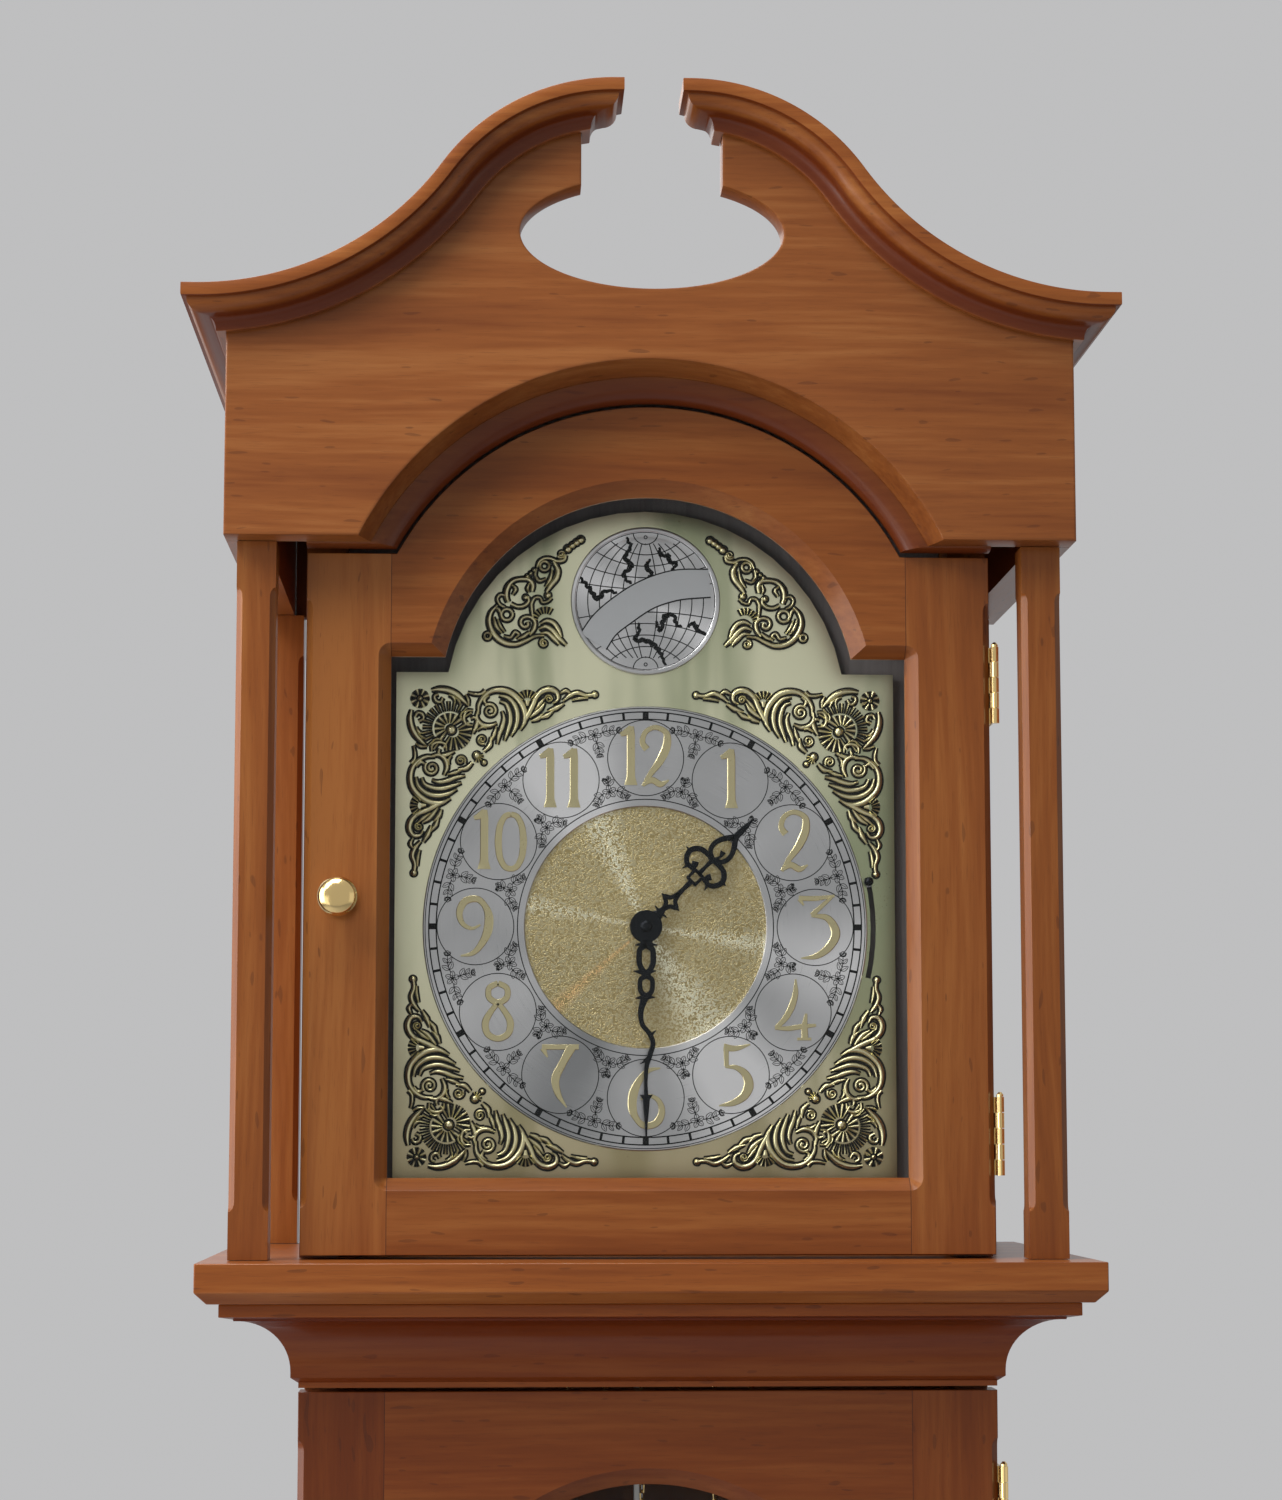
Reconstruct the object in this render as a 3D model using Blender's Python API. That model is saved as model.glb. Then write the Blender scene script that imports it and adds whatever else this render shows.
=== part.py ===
"""A grandmother clock with a swan-neck hood, glazed doors and a chain-driven movement.

Sizes are metres. Inside the model, heights are measured from the top of the hood shelf,
depths from the front face of the hood door, and widths from the middle of the clock.
One empty, called floor_datum, carries everything to its place above the floor.
"""
import math

import bmesh
import bpy

MM = 0.001
GAP = 0.3 * MM                      # running space between pieces that touch
EDGE = 0.05 * MM                    # smallest chamfer, where a stopped chamfer runs out

# The whole clock
TOTAL_HEIGHT = 1829 * MM            # floor to the crown of the swan necks
CASE_BACK = 239 * MM                # depth of the wall side behind the door face
STOCK = 19 * MM                     # thickness of the planed boards
BACK_THICKNESS = 10 * MM
HOUSING = 3 * MM                    # depth of a glued housing joint

# Hood doors and trunk door share their frame sizes
DOOR_WIDTH = 334 * MM
DOOR_THICKNESS = 19 * MM
STILE_WIDTH = 41 * MM
DOOR_CHAMFER = 3 * MM
GLAZING_CHAMFER = 6 * MM
GLAZING_CHAMFER_DEPTH = 6.5 * MM
GLAZING_CORNER = 6 * MM             # round corner of the chamfer on the face
REBATE_WIDTH = 5 * MM
REBATE_DEPTH = 8.5 * MM             # from the face to the front of the glass rebate
GLASS_THICKNESS = 2.5 * MM
GLASS_ARCH_RADIUS = 102 * MM
GLASS_ARCH_CHAMFER = 8 * MM
GLASS_SHOULDER_ABOVE_ARCH = 22.1 * MM

# Hood
DOOR_BOTTOM = 2 * MM
DOOR_SHOULDER = 341.4 * MM
BOTTOM_RAIL_TOP = 38.5 * MM
DOOR_ARCH_RADIUS = 139.8 * MM
ARCH_CENTRE = 275.7 * MM            # height of the centre of the door and board arches
GLASS_ARCH_CENTRE = 269.4 * MM
BOARD_FRONT = -30 * MM
BOARD_HALF = 205.7 * MM
BOARD_BOTTOM = 345 * MM
BOARD_ARCH_RADIUS = 157.1 * MM
BOARD_ARCH_BEVEL = 4.6 * MM
ARCH_TRIM_DEPTH = 10 * MM
ARCH_TRIM_RADIUS = 141 * MM
ARCH_TRIM_DROP = 1.6 * MM           # the trim hangs this far below the board
ARCH_TRIM_LAP = 9 * MM
NECK_CROWN = 566.8 * MM
NECK_LEVEL = 463.3 * MM
NECK_UPPER_RADIUS = 103 * MM
NECK_CROWN_X = 18 * MM
NECK_LEVEL_X = 219 * MM
NECK_PROJECTION = 20.3 * MM
NECK_FILLET = 6.4 * MM
NECK_DEPTH = 20.4 * MM
GAP_HALF = 34.5 * MM
ELLIPSE_CENTRE = 495.6 * MM
ELLIPSE_HALF_WIDTH = 64.2 * MM
ELLIPSE_HALF_HEIGHT = 27.9 * MM
COLUMN_SIDE = 19 * MM
COLUMN_OUTER = 200.3 * MM
COLUMN_FRONT = -13 * MM
COLUMN_CHAMFER = 2.9 * MM
CHAMFER_STOP = 22.5 * MM            # plain length of a column or stile before its chamfer
STOP_LENGTH = 5 * MM
ROOF_THICKNESS = 10 * MM
ROOF_TOP = 460 * MM

# Hood shelf and the cove under it
SHELF_HALF = 213.2 * MM
SHELF_FRONT = -44 * MM
SHELF_THICKNESS = 19 * MM
SHELF_CHAMFER = 5.5 * MM
WELL_HALF = 118 * MM
WELL_FRONT = 62 * MM
WELL_BACK = 160 * MM
COVE_HEIGHT = 41 * MM
COVE_FILLET = 6 * MM
COVE_PROJECTION = 37.2 * MM
COVE_RADIUS = 25.3 * MM
COVE_QUIRK = 6.5 * MM
COVE_FOOT = 1.8 * MM

# Trunk and base
TRUNK_HALF = 165.2 * MM
TRUNK_SIDE_THICKNESS = 16 * MM
TRUNK_RAIL_FRONT = 4 * MM
TRUNK_DOOR_FACE = 2 * MM
TRUNK_HINGE_LIFT = 8 * MM
TRUNK_DOOR_CLEARANCE = 2 * MM
TRUNK_TOP_RAIL = 36.2 * MM
TRUNK_BOTTOM_RAIL = 56 * MM
BASE_HEIGHT = 440 * MM
BASE_STEP = 32.8 * MM               # how far the base stands out from the trunk
TRUNK_LAP = 100 * MM                # length of trunk side inside the base
SKIRTING_HEIGHT = 95 * MM
SKIRTING_THICKNESS = 12 * MM
SKIRTING_TOP = 7 * MM

# Hinges and knobs
HINGE_LENGTH = 38 * MM
HINGE_FROM_BOTTOM = 56.5 * MM
HINGE_FROM_SHOULDER = 63 * MM
HINGE_BARREL = 2 * MM
HINGE_BORE = 1.25 * MM
HINGE_PIN = 0.95 * MM
HINGE_LEAF = 0.8 * MM
HINGE_REACH = 20 * MM                # length of the fixed leaf on the case side
PIN_BEHIND_FACE = 1.5 * MM
KNOB_RADIUS = 9.6 * MM
KNOB_LENGTH = 22 * MM
KNOB_FROM_EDGE = 17 * MM
KNOB_HEIGHT = 172.5 * MM

# Dial
DIAL_FRONT = 42 * MM
DIAL_PLATE = 1.2 * MM
DIAL_HALF = 124.5 * MM
DIAL_BOTTOM = 21 * MM
DIAL_SHOULDER = 288.8 * MM
DIAL_ARCH_HALF = 98.6 * MM
DIAL_ARCH_TOP = 371 * MM
DIAL_CENTRE = 161.6 * MM
RING_OUTER = 110.5 * MM
RING_INNER = 60 * MM
RING_THICKNESS = 1.5 * MM
SPANDREL_THICKNESS = 2 * MM
SPANDREL_LEG = 92 * MM
SPANDREL_MARGIN = 4.5 * MM
SPANDREL_CLEARANCE = 3.5 * MM
SCALLOPS = 4
SCALLOP = 1.8 * MM                  # height of the scallops round the spandrels
GLOBE_CENTRE = 325.4 * MM
GLOBE_RADIUS = 37.5 * MM
GLOBE_RISE = 4 * MM
SLOT_RADIUS = 113.6 * MM
SLOT_HALF_ANGLE = math.radians(11.6)
SLOT_WIDTH = 2.6 * MM
LEVER_THICKNESS = 1 * MM
LEVER_WIDTH = 5 * MM
LEVER_BALL = 2.3 * MM
DIAL_BOARD_THICKNESS = 9 * MM
DIAL_FOOT = 2.8 * MM                # length of the dial's feet
DIAL_BOARD_TOP = 430 * MM
CENTRE_HOLE = 6 * MM

# Hands
HOUR_HAND = 76.5 * MM
MINUTE_HAND = 103.6 * MM
HAND_THICKNESS = 1.1 * MM
HUB_RADIUS = 8 * MM
NUT_RADIUS = 3 * MM
NUT_HEIGHT = 2 * MM
HOUR_PIPE = 4.6 * MM
HOUR_BORE = 3.1 * MM
MINUTE_ARBOR = 2.6 * MM
HOUR_ABOVE_DIAL = 4.2 * MM
MINUTE_ABOVE_HOUR = 1.9 * MM
REST_TIME = (1, 30)

# Movement
PLATE_FRONT = 60 * MM
PLATE_THICKNESS = 2.5 * MM
PLATE_SPACE = 40.6 * MM
PLATE_HALF = 72 * MM
PLATE_HEIGHT = 144 * MM
PILLAR_RADIUS = 4 * MM
SEAT_TOP = 94 * MM
SEAT_THICKNESS = 16 * MM
SEAT_FRONT = 57 * MM
SEAT_BACK = 116 * MM
CLEAT = 15 * MM
WEIGHT_PITCH = 36.5 * MM
CHAIN_RADIUS = WEIGHT_PITCH / 4     # the free strand hangs midway between two weights
CHAIN_THICKNESS = 3.5 * MM
WHEEL_HEIGHT = 113 * MM
WHEEL_FLANGE = 2.5 * MM             # how far the flanges stand out past the chain's middle
WHEEL_ARBOR = 2.5 * MM
WEIGHT_RADIUS = 14.5 * MM
WEIGHT_LENGTH = 220 * MM
WEIGHT_HOOK = 14 * MM
WEIGHT_TOP = -300 * MM
RING_TOP = -78 * MM
END_RING_RADIUS = 7 * MM
END_RING_WIRE = 1.2 * MM
PENDULUM_BEHIND_PLATE = 18.5 * MM
PENDULUM_PIVOT = 231 * MM
PENDULUM_LENGTH = 753 * MM          # pivot to the middle of the bob
PENDULUM_TAIL = 62 * MM
ROD_WIDTH = 5 * MM
ROD_THICKNESS = 4 * MM
BOB_RADIUS = 55 * MM
BOB_THICKNESS = 12.5 * MM

# Worked out from the sizes above
SHELF_TOP = TOTAL_HEIGHT - NECK_CROWN
NECK_FRONT = BOARD_FRONT - NECK_PROJECTION
MIDDLE_DEPTH = (NECK_FRONT + CASE_BACK) / 2
BOARD_BACK = BOARD_FRONT + STOCK
DOOR_HALF = DOOR_WIDTH / 2
DOOR_BACK = DOOR_THICKNESS
GLASS_HALF = DOOR_HALF - STILE_WIDTH
NECK_SPAN = NECK_LEVEL_X - NECK_CROWN_X
NECK_UPPER_Z = NECK_CROWN - NECK_UPPER_RADIUS
NECK_FALL = NECK_LEVEL - NECK_UPPER_Z
NECK_LOWER_RADIUS = ((NECK_SPAN ** 2 + NECK_FALL ** 2 - NECK_UPPER_RADIUS ** 2)
                     / (2 * (NECK_UPPER_RADIUS - NECK_FALL)))
NECK_LOWER_Z = NECK_LEVEL + NECK_LOWER_RADIUS
BACK_BOARD_FRONT = CASE_BACK - BACK_THICKNESS
SHELF_BOTTOM = -SHELF_THICKNESS
COVE_BOTTOM = SHELF_BOTTOM - GAP - COVE_HEIGHT
TRUNK_RAIL_BACK = TRUNK_DOOR_FACE + DOOR_THICKNESS
TRUNK_SIDE_FRONT = TRUNK_RAIL_BACK + GAP
TRUNK_INNER = TRUNK_HALF - TRUNK_SIDE_THICKNESS
FLOOR = -SHELF_TOP
BASE_TOP = FLOOR + BASE_HEIGHT
BASE_COVE_TOP = BASE_TOP + GAP + COVE_HEIGHT
TRUNK_DOOR_TOP = COVE_BOTTOM - TRUNK_DOOR_CLEARANCE
TRUNK_DOOR_BOTTOM = BASE_COVE_TOP + TRUNK_DOOR_CLEARANCE
PIN_X = DOOR_HALF + GAP + HINGE_LEAF + HINGE_BARREL - 0.2 * MM
HOOD_SIDE_OUTER = DOOR_HALF + 1.3 * MM
HOOD_SIDE_INNER = HOOD_SIDE_OUTER - STOCK
RING_FRONT = DIAL_FRONT - GAP - RING_THICKNESS
DIAL_BOARD_FRONT = DIAL_FRONT + DIAL_PLATE + DIAL_FOOT
HOUR_FRONT = DIAL_FRONT - HOUR_ABOVE_DIAL - HAND_THICKNESS
MINUTE_FRONT = HOUR_FRONT - MINUTE_ABOVE_HOUR - HAND_THICKNESS
PLATE_BACK = PLATE_FRONT + 2 * PLATE_THICKNESS + PLATE_SPACE
WHEEL_DEPTH = PLATE_FRONT + PLATE_THICKNESS + PLATE_SPACE / 2
PENDULUM_DEPTH = PLATE_BACK + PENDULUM_BEHIND_PLATE
TRAINS = (("left", -WEIGHT_PITCH), ("centre", 0.0), ("right", WEIGHT_PITCH))

CHERRY = ("cherry", (0.30, 0.105, 0.035), 0.35, 0.0)
DARK_WOOD = ("dial_board_paint", (0.05, 0.052, 0.05), 0.6, 0.0)
PINE = ("inside_wood", (0.42, 0.27, 0.14), 0.6, 0.0)
BRASS = ("polished_brass", (0.75, 0.55, 0.22), 0.18, 1.0)
PALE_BRASS = ("dial_brass", (0.72, 0.70, 0.45), 0.25, 1.0)
SILVER = ("silvered_brass", (0.62, 0.60, 0.66), 0.32, 0.9)
ANTIQUE = ("antique_brass", (0.45, 0.31, 0.11), 0.4, 1.0)
BLACK = ("blued_steel", (0.012, 0.012, 0.016), 0.35, 0.6)
STEEL = ("steel", (0.45, 0.45, 0.46), 0.3, 1.0)
GLASS = ("window_glass", (0.85, 0.9, 0.88), 0.03, 0.0)


def clear_scene():
    for thing in list(bpy.data.objects):
        bpy.data.objects.remove(thing, do_unlink=True)


def material(look):
    name, colour, roughness, metallic = look
    found = bpy.data.materials.get(name)
    if found:
        return found
    made = bpy.data.materials.new(name)
    made.use_nodes = True
    shader = made.node_tree.nodes["Principled BSDF"]
    shader.inputs["Base Color"].default_value = (*colour, 1.0)
    shader.inputs["Roughness"].default_value = roughness
    shader.inputs["Metallic"].default_value = metallic
    made.diffuse_color = (*colour, 1.0)
    return made


def publish(name, bm, look, pivot=(0.0, 0.0, 0.0), round_piece=False):
    """Turn a bmesh into a named object whose origin is at its pivot."""
    bmesh.ops.recalc_face_normals(bm, faces=bm.faces)
    bmesh.ops.translate(bm, verts=bm.verts, vec=[-value for value in pivot])
    mesh = bpy.data.meshes.new(name)
    bm.to_mesh(mesh)
    bm.free()
    made = bpy.data.objects.new(name, mesh)
    bpy.context.collection.objects.link(made)
    made.location = pivot
    made.parent = bpy.data.objects["floor_datum"]
    mesh.materials.append(material(look))
    if round_piece:
        mesh.shade_smooth()
        mesh.set_sharp_from_angle(angle=math.radians(35))
    return made


def tool_body(name, bm):
    """A hidden shape that only cuts or joins others."""
    made = publish(name, bm, CHERRY)
    made.hide_render = True
    made.display_type = "WIRE"
    return made


def combine(target, tool, operation):
    step = target.modifiers.new(operation.lower(), "BOOLEAN")
    step.operation = operation
    step.object = tool
    step.solver = "EXACT"


def add_loft(bm, rings):
    """Join closed rings of points, one after the other, and cap both ends."""
    rows = [[bm.verts.new(point) for point in ring] for ring in rings]
    count = len(rows[0])
    for low, high in zip(rows, rows[1:]):
        for i in range(count):
            j = (i + 1) % count
            bm.faces.new((low[i], low[j], high[j], high[i]))
    bm.faces.new(rows[0])
    bm.faces.new(rows[-1])


def add_tube(bm, rings):
    """Join rings of points in a circle of rings, such as a frame or a bored disc."""
    rows = [[bm.verts.new(point) for point in ring] for ring in rings]
    count = len(rows[0])
    for k, low in enumerate(rows):
        high = rows[(k + 1) % len(rows)]
        for i in range(count):
            j = (i + 1) % count
            bm.faces.new((low[i], low[j], high[j], high[i]))


def add_box(bm, x, y, z):
    add_prism(bm, [(x[0], z[0]), (x[1], z[0]), (x[1], z[1]), (x[0], z[1])], y[0], y[1])


def add_prism(bm, outline, front, back):
    """Push an outline, seen from the front, through from front to back."""
    add_loft(bm, [[(x, y, z) for x, z in outline] for y in (front, back)])


def add_post(bm, outline, bottom, top):
    """Raise a plan outline from bottom to top."""
    add_loft(bm, [[(x, y, z) for x, y in outline] for z in (bottom, top)])


def on_axis(axis, centre, radius, angle, along):
    across = radius * math.cos(angle)
    other = radius * math.sin(angle)
    if axis == "y":
        return (centre[0] + across, centre[1] + along, centre[2] + other)
    return (centre[0] + across, centre[1] + other, centre[2] + along)


def add_turned(bm, profile, axis, centre, steps):
    """Turn (radius, along) points about an axis. A radius of 0 makes a closed pole."""
    rows = []
    for radius, along in profile:
        if radius == 0:
            rows.append([bm.verts.new(on_axis(axis, centre, 0, 0, along))])
        else:
            turns = [math.tau * i / steps for i in range(steps)]
            rows.append([bm.verts.new(on_axis(axis, centre, radius, turn, along)) for turn in turns])
    for low, high in zip(rows, rows[1:]):
        for i in range(steps):
            j = (i + 1) % steps
            corners = [low[i % len(low)], low[j % len(low)], high[j % len(high)], high[i % len(high)]]
            bm.faces.new(dict.fromkeys(corners))
    for end in (rows[0], rows[-1]):
        if len(end) > 1:
            bm.faces.new(end)


def add_bored(bm, outer, inner, axis, centre, front, back, steps):
    """A disc or sleeve with a bore, from front to back along its axis."""
    rings = []
    for radius, along in ((outer, front), (outer, back), (inner, back), (inner, front)):
        rings.append([on_axis(axis, centre, radius, math.tau * i / steps, along) for i in range(steps)])
    add_tube(bm, rings)


def arc(centre, radius, start, end, steps):
    """Points on an arc, angles in radians from the +x side, both ends included."""
    angles = [start + (end - start) * i / steps for i in range(steps + 1)]
    return [(centre[0] + radius * math.cos(a), centre[1] + radius * math.sin(a)) for a in angles]


def neck_height(x, drop):
    """Height of the swan-neck curve at x, or of its parallel curve, drop below it.

    The upper arc swells and the lower arc sweeps out, and they meet where their
    centres line up. Level ends run on past both arcs.
    """
    x = abs(x)
    meet = NECK_CROWN_X + NECK_SPAN * (NECK_UPPER_RADIUS - drop) / (NECK_UPPER_RADIUS + NECK_LOWER_RADIUS)
    if x <= NECK_CROWN_X:
        return NECK_CROWN - drop
    if x <= meet:
        return NECK_UPPER_Z + math.sqrt((NECK_UPPER_RADIUS - drop) ** 2 - (x - NECK_CROWN_X) ** 2)
    if x < NECK_LEVEL_X:
        return NECK_LOWER_Z - math.sqrt((NECK_LOWER_RADIUS + drop) ** 2 - (NECK_LEVEL_X - x) ** 2)
    return NECK_LEVEL - drop


def neck_profile():
    """The cornice section: fillet, quirk, ovolo and cove, as (projection, drop)."""
    ovolo_out = NECK_PROJECTION - 2.6 * MM
    ovolo_in = NECK_PROJECTION * 0.54
    middle = NECK_DEPTH * 0.66
    cove_out = NECK_PROJECTION * 0.42
    cove_in = NECK_PROJECTION * 0.22
    low = NECK_DEPTH - 0.8 * MM
    points = [(GAP, 0.0), (NECK_PROJECTION, 0.0), (NECK_PROJECTION, NECK_FILLET)]
    for i in range(5):
        turn = math.radians(22.5 * i)
        points.append((ovolo_in + (ovolo_out - ovolo_in) * math.cos(turn),
                       NECK_FILLET + 0.5 * MM + (middle - NECK_FILLET - 0.5 * MM) * math.sin(turn)))
    for i in range(4):
        turn = math.radians(30 * i)
        points.append((cove_out - (cove_out - cove_in) * math.sin(turn),
                       low - (low - middle - 0.4 * MM) * math.cos(turn)))
    points.append((cove_in, NECK_DEPTH))
    points.append((GAP, NECK_DEPTH))
    return points


def make_swan_necks():
    """Two curved mouldings, each mitred at both ends to its returns.

    The inner return turns back into the gap, the outer one runs down the hood's side.
    """
    steps = 19
    for name, side in (("left", -1), ("right", 1)):
        rings = []
        for i in range(-1, steps + 2):
            share = min(1.0, max(0.0, i / steps))
            ring = []
            for out, drop in neck_profile():
                start = GAP_HALF - out
                x = start + (BOARD_HALF + out - start) * share
                y = BOARD_FRONT - out
                if i < 0:
                    y = BOARD_BACK
                if i > steps:
                    y = CASE_BACK
                ring.append((side * x, y, neck_height(x, drop)))
            rings.append(ring)
        bm = bmesh.new()
        add_loft(bm, rings)
        publish(name + "_swan_neck", bm, CHERRY, round_piece=True)


def board_outline(radius):
    """The scroll board: neck curves, gap, ellipse and arch, as one outline."""
    half_gap_turn = math.acos(GAP_HALF / ELLIPSE_HALF_WIDTH)
    outline = []
    for i in range(19):
        x = BOARD_HALF + (GAP_HALF - BOARD_HALF) * i / 18
        outline.append((x, neck_height(x, 0.0)))
    for i in range(25):
        turn = half_gap_turn - (math.pi + 2 * half_gap_turn) * i / 24
        outline.append((ELLIPSE_HALF_WIDTH * math.cos(turn),
                        ELLIPSE_CENTRE + ELLIPSE_HALF_HEIGHT * math.sin(turn)))
    for i in range(19):
        x = GAP_HALF + (BOARD_HALF - GAP_HALF) * i / 18
        outline.append((-x, neck_height(x, 0.0)))
    outline.append((-BOARD_HALF, BOARD_BOTTOM))
    foot = math.asin((BOARD_BOTTOM - ARCH_CENTRE) / radius)
    outline += arc((0.0, ARCH_CENTRE), radius, math.pi - foot, foot, 24)
    outline.append((BOARD_HALF, BOARD_BOTTOM))
    return outline


def make_scroll_board():
    """One board, its arch bevelled inwards towards the back."""
    bm = bmesh.new()
    front = [(x, BOARD_FRONT, z) for x, z in board_outline(BOARD_ARCH_RADIUS)]
    back = [(x, BOARD_BACK, z) for x, z in board_outline(BOARD_ARCH_RADIUS - BOARD_ARCH_BEVEL)]
    add_loft(bm, [front, back])
    publish("scroll_board", bm, CHERRY)


def make_arch_moulding():
    """A small rounded trim behind the board, round the arch and along its two feet."""
    front = BOARD_BACK + GAP
    back = front + ARCH_TRIM_DEPTH
    bevel = BOARD_ARCH_RADIUS - BOARD_ARCH_BEVEL - ARCH_TRIM_RADIUS
    low = BOARD_BOTTOM - ARCH_TRIM_DROP
    profile = [(ARCH_TRIM_RADIUS, back, low), (ARCH_TRIM_RADIUS, back - ARCH_TRIM_DEPTH * 0.3, low)]
    for i in range(1, 5):
        turn = math.radians(22.5 * i)
        profile.append((ARCH_TRIM_RADIUS + bevel * (1 - math.cos(turn)),
                        back - ARCH_TRIM_DEPTH * (0.3 + 0.7 * math.sin(turn)),
                        low + ARCH_TRIM_DROP * (1 - math.cos(turn))))
    lap = ARCH_TRIM_LAP
    outer = BOARD_ARCH_RADIUS - BOARD_ARCH_BEVEL + lap
    profile.append((outer, front, BOARD_BOTTOM + lap))
    profile.append((outer, back, BOARD_BOTTOM + lap))
    bm = bmesh.new()
    rings = [[(-DOOR_HALF, y, level) for _, y, level in profile]]
    steps = 24
    for i in range(steps + 1):
        ring = []
        for radius, y, level in profile:
            foot = math.asin((level - ARCH_CENTRE) / radius)
            turn = math.pi - foot - (math.pi - 2 * foot) * i / steps
            ring.append((radius * math.cos(turn), y, ARCH_CENTRE + radius * math.sin(turn)))
        rings.append(ring)
    rings.append([(DOOR_HALF, y, level) for _, y, level in profile])
    add_loft(bm, rings)
    publish("arch_moulding", bm, CHERRY, round_piece=True)


def chamfer_run(bottom, top, plain_low, plain_high, width):
    """Heights and widths of a chamfer whose two ends curve out to nothing."""
    shape = ((0.0, 0.0), (0.12, 0.47), (0.35, 0.76), (0.65, 0.94), (1.0, 1.0))
    run = [(bottom, EDGE)]
    for along, share in shape:
        run.append((bottom + plain_low + STOP_LENGTH * along, max(EDGE, width * share)))
    for along, share in reversed(shape):
        run.append((top - plain_high - STOP_LENGTH * along, max(EDGE, width * share)))
    run.append((top, EDGE))
    return run


def make_columns():
    """Four square columns, each with four stopped chamfers."""
    bottom = GAP
    top = BOARD_BOTTOM - GAP
    for place, y0 in (("front", COLUMN_FRONT), ("back", CASE_BACK - COLUMN_SIDE)):
        y1 = y0 + COLUMN_SIDE
        for name, side in (("left", -1), ("right", 1)):
            x0, x1 = sorted((side * COLUMN_OUTER, side * (COLUMN_OUTER - COLUMN_SIDE)))
            rings = []
            for z, c in chamfer_run(bottom, top, CHAMFER_STOP, CHAMFER_STOP, COLUMN_CHAMFER):
                rings.append([(x0 + c, y0, z), (x1 - c, y0, z), (x1, y0 + c, z), (x1, y1 - c, z),
                              (x1 - c, y1, z), (x0 + c, y1, z), (x0, y1 - c, z), (x0, y0 + c, z)])
            bm = bmesh.new()
            add_loft(bm, rings)
            publish(place + "_" + name + "_column", bm, CHERRY)


def make_hood_case():
    """Roof, side friezes and the inner sides that the door closes on, glued as one."""
    inner = BOARD_HALF - STOCK
    roof_bottom = ROOF_TOP - ROOF_THICKNESS
    bm = bmesh.new()
    add_box(bm, (-inner - HOUSING, inner + HOUSING), (BOARD_BACK + GAP, BACK_BOARD_FRONT - GAP),
            (roof_bottom, ROOF_TOP))
    case = publish("hood_case", bm, CHERRY)
    bm = bmesh.new()
    for side in (-1, 1):
        x = sorted((side * inner, side * BOARD_HALF))
        add_box(bm, x, (BOARD_BACK + GAP, CASE_BACK), (BOARD_BOTTOM, NECK_LEVEL))
        x = sorted((side * HOOD_SIDE_INNER, side * HOOD_SIDE_OUTER))
        add_box(bm, x, (DOOR_BACK + GAP, BACK_BOARD_FRONT - GAP - EDGE), (GAP, roof_bottom + HOUSING))
    combine(case, tool_body("join_hood_sides", bm), "UNION")


def make_hood_shelf():
    """The shelf: a chamfered board, notched for the back board, with a well for the chains."""
    notch = TRUNK_HALF + GAP
    bm = bmesh.new()
    rings = []
    for z, inset in ((0.0, 0.0), (SHELF_BOTTOM + SHELF_CHAMFER, 0.0), (SHELF_BOTTOM, SHELF_CHAMFER)):
        half = SHELF_HALF - inset
        front = SHELF_FRONT + inset
        rings.append([(-half, front, z), (half, front, z), (half, CASE_BACK, z), (notch, CASE_BACK, z),
                      (notch, BACK_BOARD_FRONT - GAP, z), (-notch, BACK_BOARD_FRONT - GAP, z),
                      (-notch, CASE_BACK, z), (-half, CASE_BACK, z)])
    add_loft(bm, rings)
    shelf = publish("hood_shelf", bm, CHERRY)
    bm = bmesh.new()
    add_box(bm, (-WELL_HALF, WELL_HALF), (WELL_FRONT, WELL_BACK), (2 * SHELF_BOTTOM, STOCK))
    combine(shelf, tool_body("cut_well", bm), "DIFFERENCE")


def cove_profile():
    """The cove section: fillet, quirk, hollow and foot, as (projection, drop)."""
    cove_out = COVE_PROJECTION - COVE_QUIRK
    points = [(GAP, 0.0), (COVE_PROJECTION, 0.0), (COVE_PROJECTION, COVE_FILLET),
              (cove_out, COVE_FILLET + 1.5 * MM)]
    hollow_top = COVE_FILLET + 2 * MM
    for i in range(7):
        turn = math.radians(15 * i)
        points.append((cove_out - COVE_RADIUS * math.sin(turn),
                       hollow_top + COVE_RADIUS * (1 - math.cos(turn))))
    foot_start = COVE_HEIGHT - 2.5 * MM
    points += [(COVE_FOOT, foot_start), (COVE_FOOT, COVE_HEIGHT), (GAP, COVE_HEIGHT)]
    return points


def add_mitred(bm, profile, half, front, back, level, way):
    """Carry a (projection, drop) profile down one side, across the front and down the other.

    way is -1 for a profile that hangs from its level and 1 for one that stands on it.
    """
    rings = []
    for side, at_back in ((-1, True), (-1, False), (1, False), (1, True)):
        rings.append([(side * (half + out), back if at_back else front - out, level + way * drop)
                      for out, drop in profile])
    add_loft(bm, rings)


def make_hood_cove():
    bm = bmesh.new()
    add_mitred(bm, cove_profile(), TRUNK_HALF, TRUNK_RAIL_FRONT, CASE_BACK, SHELF_BOTTOM - GAP, -1)
    publish("hood_cove", bm, CHERRY, round_piece=True)


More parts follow.
